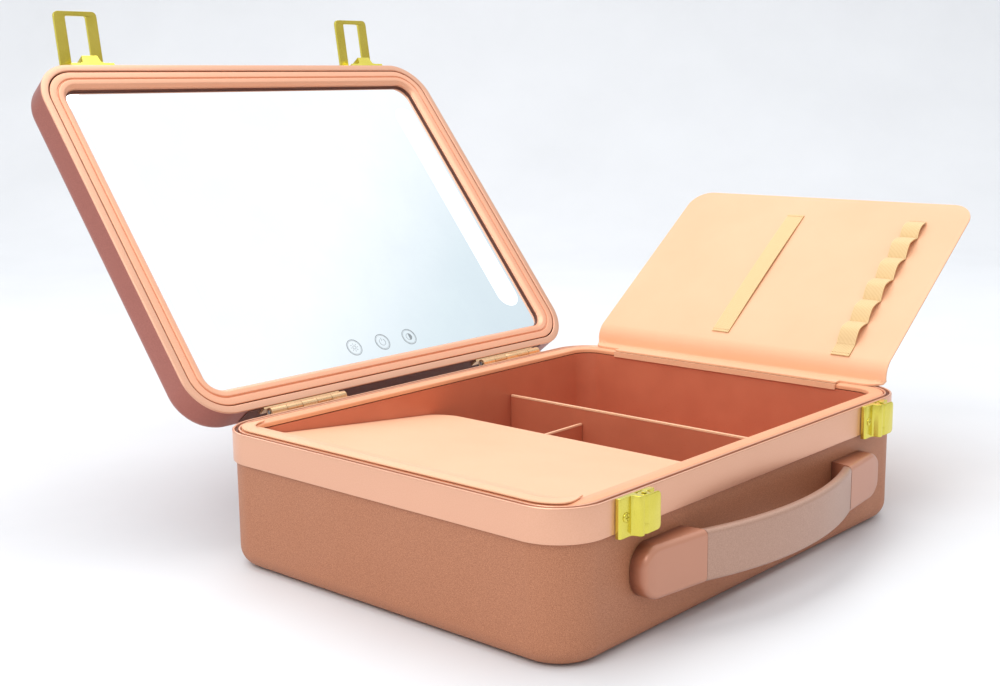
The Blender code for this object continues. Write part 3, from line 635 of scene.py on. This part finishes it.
def make_handle():
    for side, word in ((-1, "left"), (1, "right")):
        sections = []
        for i in range(31):
            share = math.sin(math.pi / 2 * i / 30)
            x = CAP_IN + (CAP_OUT - 0.00002 - CAP_IN) * share
            depth, section = cap_section(x)
            sections.append([(side * (x + CAP_SLANT * (1 - share) * (1 - out / depth)), WALL_Y - out, z)
                             for out, z in section])
        cap = swept_sections(f"handle_end_{word}", sections, CAP)
        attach(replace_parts(cap, f"handle_cap_{word}"), "body")
    half = CAP_IN - 0.0003
    radius = (half * half + GRIP_BOW * GRIP_BOW) / (2 * GRIP_BOW)
    centre_y = GRIP_END - GRIP_BOW + radius
    section = filleted([(0.0, CAP_LOW + 0.0004, 0.0022), (0.0, CAP_HIGH - 0.0004, 0.0018),
                        (GRIP_THICK, CAP_HIGH - 0.0004, 0.0024),
                        (GRIP_THICK, CAP_LOW + 0.0004, 0.0024)], steps=6)
    sections = []
    for x in (half * (i / 24 - 1) for i in range(49)):
        sections.append([(x, centre_y - math.sqrt((radius + out) ** 2 - x * x), z) for out, z in section])
    grip = swept_sections("handle_strap", sections, GRIP)
    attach(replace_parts(grip, "handle_grip"), "body")


# ---------------------------------------------------------------- screws
def screw_head(name, centre, radius, height):
    """Domed head with a cross recess, facing -Y from a point on its seat."""
    bm = bmesh.new()
    rings = []
    for i in range(7):
        angle = math.pi / 2 * i / 6
        rings.append((radius * math.cos(angle), height * (0.35 + 0.65 * math.sin(angle))))
    rings.insert(0, (radius, 0.0))
    loops = []
    for reach, lift in rings[:-1]:
        loops.append([bm.verts.new((reach * math.cos(2 * math.pi * k / 24), -lift,
                                    reach * math.sin(2 * math.pi * k / 24))) for k in range(24)])
    for a, b in zip(loops, loops[1:]):
        for k in range(24):
            bm.faces.new((a[k], a[(k + 1) % 24], b[(k + 1) % 24], b[k]))
    bm.faces.new(loops[0])
    bm.faces.new(loops[-1])
    head = finish_mesh(name, bm, GOLD)
    slot_w, slot_l = radius * 0.17, radius * 0.62
    outline = [(slot_w, slot_w), (slot_w, slot_l), (-slot_w, slot_l), (-slot_w, slot_w),
               (-slot_l, slot_w), (-slot_l, -slot_w), (-slot_w, -slot_w), (-slot_w, -slot_l),
               (slot_w, -slot_l), (slot_w, -slot_w), (slot_l, -slot_w), (slot_l, slot_w)]
    cross = prism("cross", outline, -height * 2, -height * 0.30, "Y", GOLD)
    boolean(head, cross)
    return carried(head, Matrix.Translation(centre))


# ---------------------------------------------------------------- hardware kept from the model
def dress(node, mat, width=0.0, segments=2):
    """Shows a model node as it is, its corners eased and its finish on."""
    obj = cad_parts[node]
    obj.data.materials.clear()
    obj.data.materials.append(mat)
    if width:
        weld = obj.modifiers.new("weld", "WELD")
        weld.merge_threshold = 0.00001
        bevelled(obj, width, segments)


HASP_LOW, HASP_HIGH = 0.0601, 0.0799
TAB_PIN = (0.0040, 0.0046)


def make_hasp(side, word):
    """Stamped hasp: flange with the screw, rolled step, and the folding tab on its pin."""
    def placed(corners):
        return filleted([(side * LATCH_X + x, -HALF_D - out, radius) for x, out, radius in corners],
                        steps=8)
    base = prism(f"hasp_stamping_{word}", placed([
        (-0.0128, 0.0003, 0), (-0.0128, 0.0031, 0.0014), (-0.0036, 0.0031, 0.0014),
        (-0.0022, 0.0078, 0.0020),
        (0.0005, 0.0078, 0.0004), (0.0005, 0.0011, 0), (0.0076, 0.0011, 0), (0.0076, 0.0038, 0.0006),
        (0.0140, 0.0038, 0.0010), (0.0140, 0.0003, 0)]), HASP_LOW, HASP_HIGH, "Z", GOLD, bevel=0.0002)
    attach(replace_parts(base, f"hasp_base_{word}"), "body")
    pin = (side * LATCH_X + TAB_PIN[0], -HALF_D - TAB_PIN[1])
    low, high = HASP_LOW + 0.0002, HASP_HIGH - 0.0002
    plate = prism("plate", filleted([
        (pin[0], low, 0), (side * LATCH_X + 0.0137, low, 0.0026),
        (side * LATCH_X + 0.0137, high, 0.0026), (pin[0], high, 0)], steps=8),
        -HALF_D - 0.0078, -HALF_D - 0.0066, "Y", GOLD, bevel=0.0005)
    ends = [prism("knuckle", circle(pin, 0.0032, 40), start, end, "Z", GOLD,
                  [circle(pin, 0.0010, 20)], bevel=0.0003)
            for start, end in ((low, 0.0657), (0.0737, high))]
    crest = prism("crest", arc(pin, 0.0032, 219, 321, 16), 0.0655, 0.0739, "Z", GOLD)
    tab = joined([plate, crest, *ends], f"hasp_folding_tab_{word}")
    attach(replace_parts(tab, f"hasp_tab_{word}"), f"tab_{word}")


def make_hardware():
    for word, side in (("left", -1), ("right", 1)):
        make_hasp(side, word)
        for node in (f"loop_bracket_{word}", f"latch_loop_{word}"):
            dress(node, GOLD, 0.00035, 3)
        dress(f"hasp_pin_{word}", GOLD, 0.00025, 2)
        for node in (f"hinge_body_leaf_{word}", f"hinge_lid_leaf_{word}"):
            dress(node, HINGE_GOLD, 0.00020, 2)
        for node in (f"hinge_pin_{word}", f"handle_plate_{word}", f"handle_screw_{word}_1",
                     f"handle_screw_{word}_2"):
            dress(node, STEEL)
        dress(f"flap_anchor_{word}", PEACH)
        dress(f"led_strip_{word}", BOARD)
        low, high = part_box(f"hasp_screw_{word}")
        middle = (low + high) / 2
        place = (middle.x, low.y + 0.0006, middle.z)
        head = screw_head(f"hasp_screw_head_{word}", place, 0.0025, 0.0010)
        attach(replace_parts(head, f"hasp_screw_{word}"), "body")
        for number, offset in ((1, -0.0138), (2, 0.0138)):
            place = (side * LATCH_X + offset, -HALF_D - 0.0026, 0.0903)
            head = screw_head(f"bracket_screw_head_{word}_{number}", place, 0.0019, 0.0010)
            carried(head, LID)
            node = f"bracket_screw_{word}_{number}"
            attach(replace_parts(head, node), "lid")
    for node in ("long_divider", "cross_divider"):
        dress(node, LINER_SHADED, 0.0002)
    dress("charging_port", STEEL, 0.0003)
    dress("touch_board", BOARD)
    dress("control_board", BOARD)
    dress("battery", BLACK, 0.0008)
    dress("mirror_backing", PANEL)


# ---------------------------------------------------------------- lid
def make_lid():
    rise = tray_profile(0.0002, 0.0020, 0.0080, LID_TOP - RIM_Z - 0.0013, 0.0002)
    shell = swept_ring("lid_skin", [(inset, LID_TOP - z) for inset, z in rise], LID_SKIN, capped=True)
    low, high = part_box("charging_port")
    centre = LID.inverted() @ ((low + high) / 2)
    window = prism("port_window", filleted([
        (centre.y - 0.0048, centre.z - 0.0019, 0.0018), (centre.y + 0.0048, centre.z - 0.0019, 0.0018),
        (centre.y + 0.0048, centre.z + 0.0019, 0.0018), (centre.y - 0.0048, centre.z + 0.0019, 0.0018)]),
        centre.x - 0.006, centre.x + 0.010, "X", LID_SKIN)
    boolean(shell, window)
    shell.data.set_sharp_from_angle(angle=math.radians(40))
    pieces = [(shell, "lid_shell", "grained_shell")]
    low_z = RIM_Z
    rim = swept_ring("lid_rim", filleted([
        (0.0, low_z, 0.0005), (0.0, low_z + 0.0012, 0.0002), (0.0024, low_z + 0.0012, 0.0002),
        (0.0024, low_z + 0.0020, 0.0001), (0.0050, low_z + 0.0020, 0.0001),
        (0.0050, low_z, 0.0007)]), BAND)
    pieces.append((rim, "lid_frame", "rose_metal"))
    bezel = swept_ring("lid_bezel_skin", filleted([
        (0.0058, low_z + 0.0028, 0.0001), (0.0058, low_z + 0.0004, 0.0005),
        (0.0104, low_z + 0.0004, 0.0005), (0.0107, low_z + 0.0015, 0.0003),
        (0.0114, low_z + 0.0015, 0.0003), (0.0117, low_z + 0.0003, 0.0007),
        (0.0150, low_z + 0.0006, 0.0016), (0.0171, low_z + 0.0027, 0.0006),
        (0.0173, MIRROR_Z - 0.0001, 0.0001), (0.0160, MIRROR_Z - 0.0001, 0.0001),
        (0.0158, low_z + 0.0032, 0.0003)]), BEZEL)
    pieces.append((bezel, "lid_bezel", "leatherette"))
    # dark ring of painted shade at the foot of the bezel's inner wall, where it meets the mirror
    edge_shade = swept_ring("mirror_edge_shade", filleted([
        (0.0172, low_z + 0.0044, 0.0002), (0.0179, low_z + 0.0044, 0.0002),
        (0.0179, MIRROR_Z - 0.0001, 0.0001), (0.0172, MIRROR_Z - 0.0001, 0.0001)]), SHADE_FILL)
    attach(carried(edge_shade, LID), "lid")
    glass_x, glass_y = HALF_W - 0.0125, HALF_D - 0.0125
    glass = prism("mirror_pane", filleted([(-glass_x, -glass_y, 0.014), (glass_x, -glass_y, 0.014),
                                           (glass_x, glass_y, 0.014), (-glass_x, glass_y, 0.014)],
                                          steps=12), MIRROR_Z, MIRROR_Z + 0.0020, "Z", MIRROR)
    pieces.append((glass, "mirror_glass", "mirror_glass"))
    # dark strip of painted shade across the gap between the hinges
    low, high = STRIP_Z
    strip = prism("hinge_gap_shade", filleted([(-STRIP_HALF, low, 0.0006), (STRIP_HALF, low, 0.0006),
                                           (STRIP_HALF, high, 0.0006), (-STRIP_HALF, high, 0.0006)]),
                  *STRIP_Y, "Y", SHADE_FILL)
    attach(carried(strip, LID), "lid")
    for obj, node, slot in pieces:
        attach(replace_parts(carried(obj, LID), node), "lid")


# dark strip of painted shade that fills the gap between the lid's hinges
STRIP_HALF, STRIP_Y, STRIP_Z = 0.1350, (0.13002, 0.13024), (0.0828, 0.0965)
PRINT_Z = (MIRROR_Z - 0.00006, MIRROR_Z - 0.00001)
BUTTON_Y = 0.1007


def make_lamp_windows():
    for side, word in ((-1, "left"), (1, "right")):
        x, half, reach = side * 0.1360, 0.0100, 0.0920
        outline = filleted([(x - half, -reach, half * 0.98), (x + half, -reach, half * 0.98),
                            (x + half, reach, half * 0.98), (x - half, reach, half * 0.98)], steps=10)
        window = prism(f"lamp_window_{word}", outline, *PRINT_Z, "Z", FROST)
        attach(carried(window, LID), "lid")


def printed(outline, holes=()):
    return prism("print", outline, *PRINT_Z, "Z", PRINT, holes)


def spoke(centre, angle, near, far, width):
    """Short bar pointing away from a centre."""
    turn = Matrix.Rotation(math.radians(angle), 2)
    ends = [(near, -width), (far, -width), (far, width), (near, width)]
    return [tuple(Vector(centre) + turn @ Vector(p)) for p in ends]


def make_touch_marks():
    """Three touch keys: brightness, power and light colour."""
    for x, word in ((-0.0290, "dim"), (-0.0035, "power"), (0.0215, "tone")):
        centre = (x, BUTTON_Y)
        marks = [printed(circle(centre, 0.0061, 48), [circle(centre, 0.00562, 48)]),
                 printed(circle(centre, 0.0052, 48), [circle(centre, 0.0050, 48)])]
        if word == "dim":
            marks.append(printed(circle(centre, 0.0014, 24), [circle(centre, 0.0011, 24)]))
            marks += [printed(spoke(centre, 45 * k, 0.0021, 0.0031, 0.00016)) for k in range(8)]
        if word == "power":
            sweep = arc(centre, 0.0027, -55, 235, 28) + arc(centre, 0.0024, 235, -55, 28)
            marks += [printed(sweep), printed(spoke(centre, -90, 0.0008, 0.0032, 0.00016))]
        if word == "tone":
            marks.append(printed(circle(centre, 0.0026, 32), [circle(centre, 0.0023, 32)]))
            marks.append(printed(arc(centre, 0.0023, -90, 90, 16)))
        piece = joined(marks, f"touch_mark_{word}")
        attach(carried(piece, LID), "lid")


# ---------------------------------------------------------------- flaps
FLAP_HALF, TAB_HALF = 0.1146, 0.0880
SHEET_THICK, EDGE_R = 0.0011, 0.016


def spaced(start, end, count):
    return [start + (end - start) * i / count for i in range(count + 1)]


def along_path(points):
    """Evenly spaced points on a polyline."""
    path = [Vector(p) for p in points]
    lengths = [0.0]
    for a, b in zip(path, path[1:]):
        lengths.append(lengths[-1] + (b - a).length)

    def at(distance):
        for i in range(1, len(path)):
            if distance <= lengths[i] or i == len(path) - 1:
                share = (distance - lengths[i - 1]) / (lengths[i] - lengths[i - 1])
                return path[i - 1].lerp(path[i], share)
    return at, lengths[-1]


def corner_cut(y, radius):
    """How far a board's rounded corner draws its edge back at a place along the case."""
    over = abs(y) - (FLAP_HALF - radius)
    if over <= 0:
        return 0.0
    return radius - math.sqrt(max(radius * radius - over * over, 0.0))


def flap_columns():
    """Places along the case: close together at the board's rounded corners and the tab's ends."""
    half = spaced(0.0, TAB_HALF, 10)[:-1] + spaced(TAB_HALF, FLAP_HALF - EDGE_R, 3)[:-1]
    half += [FLAP_HALF - EDGE_R + EDGE_R * math.sin(math.pi / 2 * i / 10) for i in range(11)]
    return [-y for y in reversed(half[1:])] + half


def make_right_flap():
    lean = math.radians(LEAN)
    end = (LEAN_FOOT[0] + 0.1780 * math.cos(lean), LEAN_FOOT[1] + 0.1780 * math.sin(lean))
    path = filleted([(0.1553, 0.0814, 0), (0.1708, 0.0814, 0.0010), (0.1709, 0.0916, 0.0140),
                     (*end, 0)], closed=False, steps=8)
    at, length = along_path(path)
    tab_end = 0.0057
    columns = flap_columns()
    rows = []
    for distance in spaced(0.0, tab_end, 6)[:-1]:
        x, z = at(distance)
        rows.append([Vector((x, y, z)) if abs(y) <= TAB_HALF + 1e-6 else None for y in columns])
    bends = [0.020, 0.040, 0.052, 0.055, 0.058, 0.061, 0.070, 0.082, *spaced(0.092, 0.143, 7)]
    for share in [0.0, 0.008, *bends, 0.170, *spaced(0.2, 1.0, 16)]:
        row = []
        for y in columns:
            low = tab_end + corner_cut(y, 0.0130) if abs(y) > TAB_HALF else tab_end
            high = length - corner_cut(y, EDGE_R)
            x, z = at(low + (high - low) * share)
            row.append(Vector((x, y, z)))
        rows.append(row)
    board = applied(bevelled(sheet_grid("right_flap_sheet", rows, PEACH, SHEET_THICK), 0.0004, 3, 60))
    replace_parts(board, "right_flap", "right_flap_hinge")
    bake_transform(board)


BEND_X = -0.1566                         # where the left flap leaves the rim's bead
SHEET_TOP, CREASE = 0.0812, 0.0011


def left_height(x, y):
    """Closed left flap: level over the bead, a soft shoulder, then a dip to its free edge."""
    share = min(max((x - BEND_X) / 0.0280, 0.0), 1.0)
    ease = share * share * (3 - 2 * share)
    dip = 0.0727 - 0.0980 * (x + 0.1400)
    level = SHEET_TOP - CREASE * min((x - BEND_X) / 0.0019, 1.0)
    front = max(0.0, -y - 0.0930) / (FLAP_HALF - 0.0930)
    lift = 0.0026 * front * front * (1 - abs(2 * min((x - BEND_X) / 0.110, 1.0) - 1))
    return level + (dip - level) * ease + lift


CORNER = (-0.1420, 0.1020)               # centre of the rim's corner
GLUED_R, LOOSE_R = 0.0227, 0.0146        # flap's outer edge and its crease, round that corner


def crease(y):
    """Where the left flap leaves the rim's bead, at a place along the case."""
    over = max(0.0, abs(y) - CORNER[1])
    return CORNER[0] - math.sqrt(LOOSE_R ** 2 - over * over)


def make_apron():
    """Part of the left flap that is glued over the bead, swept round both corners of the rim."""
    def spoke_at(angle, end):
        share = min(max((abs(angle - 180) - 42) / 46, 0.0), 1.0)
        outer = GLUED_R - (GLUED_R - LOOSE_R - 0.0008) * share * share * (3 - 2 * share)
        turn = Vector((math.cos(math.radians(angle)), math.sin(math.radians(angle))))
        centre = Vector((CORNER[0], end * CORNER[1]))
        return centre + turn * outer, centre + turn * (LOOSE_R + 0.0001)
    pairs = [spoke_at(angle, -1) for angle in spaced(268, 180, 22)]
    pairs += [(Vector((CORNER[0] - GLUED_R, y)), Vector((CORNER[0] - LOOSE_R - 0.0001, y)))
              for y in spaced(-CORNER[1], CORNER[1], 12)[1:-1]]
    pairs += [spoke_at(angle, 1) for angle in spaced(180, 92, 22)]
    rows = [[outer.lerp(inner, share).to_3d() + Vector((0, 0, SHEET_TOP)) for outer, inner in pairs]
            for share in spaced(0.0, 1.0, 6)]
    apron = applied(sheet_grid("left_flap_apron", rows, PEACH, 0.0008))
    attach(apron, "body")


def make_left_flap():
    end = 0.0033
    columns = flap_columns()
    rows = []
    for share in spaced(0.0, 1.0, 44):
        row = []
        for y in columns:
            low, high = crease(y), end - corner_cut(y, EDGE_R)
            x = low + (high - low) * share ** 1.6
            row.append(Vector((x, y, left_height(x, y))))
        rows.append(row)
    board = applied(bevelled(sheet_grid("left_flap_sheet", rows, PEACH, SHEET_THICK), 0.0004, 3, 60))
    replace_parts(board, "left_flap", "left_flap_hinge")
    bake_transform(board)


def strip_mesh(name, line, centre, half, thickness):
    """Elastic strip along a line of (distance, height) on the board, with UVs in metres."""
    bm = bmesh.new()
    uv = bm.loops.layers.uv.new("metres")
    across = spaced(-half, half, 6)
    place = {}
    rows = []
    run = 0.0
    for i, (s, lift) in enumerate(line):
        if i:
            run += math.dist(line[i - 1], (s, lift))
        row = []
        for offset in across:
            sag = 0.10 * thickness * (offset / half) ** 2
            vert = bm.verts.new((s, centre + offset, lift + thickness - sag))
            place[vert] = (offset, run)
            row.append(vert)
        rows.append(row)
    for a, b in zip(rows, rows[1:]):
        for j in range(len(across) - 1):
            face = bm.faces.new((a[j], b[j], b[j + 1], a[j + 1]))
            for loop in face.loops:
                loop[uv].uv = place[loop.vert]
    bmesh.ops.recalc_face_normals(bm, faces=bm.faces)
    mesh = bpy.data.meshes.new(name)
    bm.to_mesh(mesh)
    bm.free()
    strip = add_object(name, mesh, ELASTIC, 60)
    if strip.data.polygons[0].normal.z < 0:
        strip.data.flip_normals()
    solid = strip.modifiers.new("thickness", "SOLIDIFY")
    solid.thickness = thickness
    solid.offset = -1.0
    bevelled(strip, thickness * 0.3, 2, 60)
    return applied(strip)


def stitch_row(name, s, lift, centre, half, count=7):
    """Line of stitches across an elastic where it is sewn down."""
    threads = []
    pitch = 2 * half / count
    for i in range(count):
        y = centre - half + pitch * (i + 0.5)
        bpy.ops.mesh.primitive_uv_sphere_add(segments=8, ring_count=6, radius=1.0)
        bead = bpy.context.object
        stretch = Matrix.Diagonal((0.00022, pitch * 0.38, 0.00018, 1))
        bead.data.transform(Matrix.Translation((s, y, lift)) @ stretch)
        bead.data.materials.append(THREAD)
        threads.append(bead)
    return joined(threads, name)


def make_elastics():
    half, thick = 0.0067, 0.0009
    flat_line = [(s, 0.00015 + 0.0009 * math.sin(math.pi * (s - 0.032) / 0.125))
                 for s in spaced(0.032, 0.157, 40)]
    strap = strip_mesh("flat_elastic_knit", flat_line, 0.0155, half, thick)
    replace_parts(strap, "flat_elastic")
    first, pitch = 0.0346, 0.0212
    stitches = [first + pitch * k for k in range(6)]
    line = [(0.0245, 0.0002)]
    for k, s in enumerate(stitches[:-1]):
        rise = (0.0046, 0.0041, 0.0049, 0.0043, 0.0047)[k]
        for i in range(12):
            t = i / 12
            lean = 0.10 * math.sin(2 * math.pi * t)
            line.append((s + pitch * (t + lean * 0.5), 0.0002 + rise * math.sin(math.pi * t) ** 0.75))
    line += [(stitches[-1], 0.0002)]
    line += [(stitches[-1] + 0.0165 * t, 0.0002 + 0.0032 * math.sin(math.pi * t) ** 0.8)
             for t in spaced(0.0, 1.0, 10)[1:]]
    looped = strip_mesh("loop_elastic_knit", line, -0.0800, half, thick)
    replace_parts(looped, "loop_elastic")
    rows = [stitch_row("strap_stitches_low", 0.0340, 0.0012, 0.0155, half),
            stitch_row("strap_stitches_high", 0.1550, 0.0012, 0.0155, half)]
    for k, s in enumerate([0.0265, *stitches, 0.1572]):
        rows.append(stitch_row(f"loop_stitches_{k + 1}", s, 0.0012, -0.0800, half))
    for piece in (strap, looped, *rows):
        carried(piece, board_matrix(1))
        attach(piece, "right_board")


# ---------------------------------------------------------------- studio
CAMERA_AT = Vector((-0.64036, -0.50967, 0.27212))
CAMERA_AXES = ((0.66353, -0.74807, -0.01074), (0.14412, 0.11372, 0.98300),
               (0.73414, 0.65380, -0.18327))
LENS = 50.38


def make_camera():
    data = bpy.data.cameras.new("camera")
    data.sensor_width = 36.0
    data.lens = LENS
    data.clip_start = 0.01
    camera = bpy.data.objects.new("camera", data)
    right, up, forward = (Vector(axis) for axis in CAMERA_AXES)
    turn = Matrix((right, up, -forward)).transposed()
    camera.matrix_world = Matrix.Translation(CAMERA_AT) @ turn.to_4x4()
    bpy.context.scene.collection.objects.link(camera)
    bpy.context.scene.camera = camera


def make_stage():
    """Sweep of pale paper: level floor, bend, low wall behind the case."""
    facing = math.atan2(CAMERA_AXES[2][1], CAMERA_AXES[2][0])
    profile = [(-3.0, 0.0), (1.3, 0.0)] + [(1.3 + 0.7 * math.sin(a), 0.7 - 0.7 * math.cos(a))
                                           for a in (math.pi / 2 * i / 16 for i in range(1, 17))]
    profile.append((2.0, 1.2))
    bm = bmesh.new()
    sides = []
    for across in (-4.0, 4.0):
        sides.append([bm.verts.new((along, across, z - 0.0002)) for along, z in profile])
    for i in range(len(profile) - 1):
        bm.faces.new((sides[0][i], sides[0][i + 1], sides[1][i + 1], sides[1][i]))
    nodes = Nodes("paper")
    mottle = nodes.noise(5.0, 4.0)
    tinted(nodes, mottle, (226, 228, 231), (231, 233, 236), 0.3, 0.7)
    nodes.link(nodes.spread(mottle, 0.55, 0.7), nodes.shader.inputs["Roughness"])
    floor = finish_mesh("paper_sweep", bm, nodes.material)
    floor.data.transform(Matrix.Rotation(facing, 4, "Z"))


def area_light(name, place, target, size, power, colour):
    data = bpy.data.lights.new(name, "AREA")
    data.shape = "RECTANGLE"
    data.size, data.size_y = size
    data.energy = power
    data.color = colour
    lamp = bpy.data.objects.new(name, data)
    lamp.location = place
    lamp.rotation_euler = (Vector(target) - Vector(place)).to_track_quat("-Z", "Y").to_euler()
    bpy.context.scene.collection.objects.link(lamp)


def sky_ramp(tree, value, stops):
    """Colour ramp over one direction of the sky."""
    shift = tree.nodes.new("ShaderNodeMapRange")
    shift.inputs["From Min"].default_value = -1.0
    shift.inputs["From Max"].default_value = 1.0
    ramp = tree.nodes.new("ShaderNodeValToRGB")
    tree.links.new(value, shift.inputs["Value"])
    tree.links.new(shift.outputs["Result"], ramp.inputs["Fac"])
    elements = ramp.color_ramp.elements
    while len(elements) < len(stops):
        elements.new(0.5)
    for element, (position, colour) in zip(elements, stops):
        element.position = position
        element.color = (*colour, 1.0)
    return ramp.outputs["Color"]


def make_lights():
    """Studio sky: bright above and behind, a cool panel high in front, dim and warm low in front."""
    world = bpy.data.worlds.new("studio")
    world.use_nodes = True
    tree = world.node_tree
    background = tree.nodes["Background"]
    background.inputs["Strength"].default_value = 0.85
    place = tree.nodes.new("ShaderNodeTexCoord")
    split = tree.nodes.new("ShaderNodeSeparateXYZ")
    tree.links.new(place.outputs["Generated"], split.inputs[0])
    high = sky_ramp(tree, split.outputs["Z"], ((0.0, (0.70, 0.72, 0.76)), (0.775, (0.84, 0.95, 1.02)),
                                               (0.815, (0.98, 1.08, 1.13)), (0.850, (1.30, 1.32, 1.35)),
                                               (0.93, (1.30, 1.31, 1.33)), (1.0, (1.10, 1.10, 1.12))))
    low = sky_ramp(tree, split.outputs["Y"], ((0.0, (0.62, 0.56, 0.54)), (0.30, (0.68, 0.65, 0.63)),
                                              (0.45, (0.92, 0.92, 0.94)), (1.0, (1.0, 1.0, 1.02))))
    level = tree.nodes.new("ShaderNodeMapRange")
    level.inputs["From Min"].default_value = 0.40
    level.inputs["From Max"].default_value = 0.52
    mix = tree.nodes.new("ShaderNodeMixRGB")
    tree.links.new(split.outputs["Z"], level.inputs["Value"])
    tree.links.new(level.outputs["Result"], mix.inputs["Fac"])
    tree.links.new(low, mix.inputs["Color1"])
    tree.links.new(high, mix.inputs["Color2"])
    tree.links.new(mix.outputs["Color"], background.inputs["Color"])
    bpy.context.scene.world = world
    area_light("key", (-1.6, -0.2, 1.7), (0, 0, 0.05), (1.4, 1.0), 16, (1.0, 0.97, 0.94))
    area_light("top", (0.2, 0.5, 2.0), (0, 0, 0), (2.0, 1.4), 16, (1.0, 0.99, 0.98))
    bpy.context.scene.view_settings.view_transform = "Standard"


# ---------------------------------------------------------------- assembly
make_camera()
make_stage()
make_lights()
make_body()
make_divider_trims()
make_handle()
make_hardware()
make_lid()
make_lamp_windows()
make_touch_marks()
make_right_flap()
make_left_flap()
make_apron()
make_elastics()
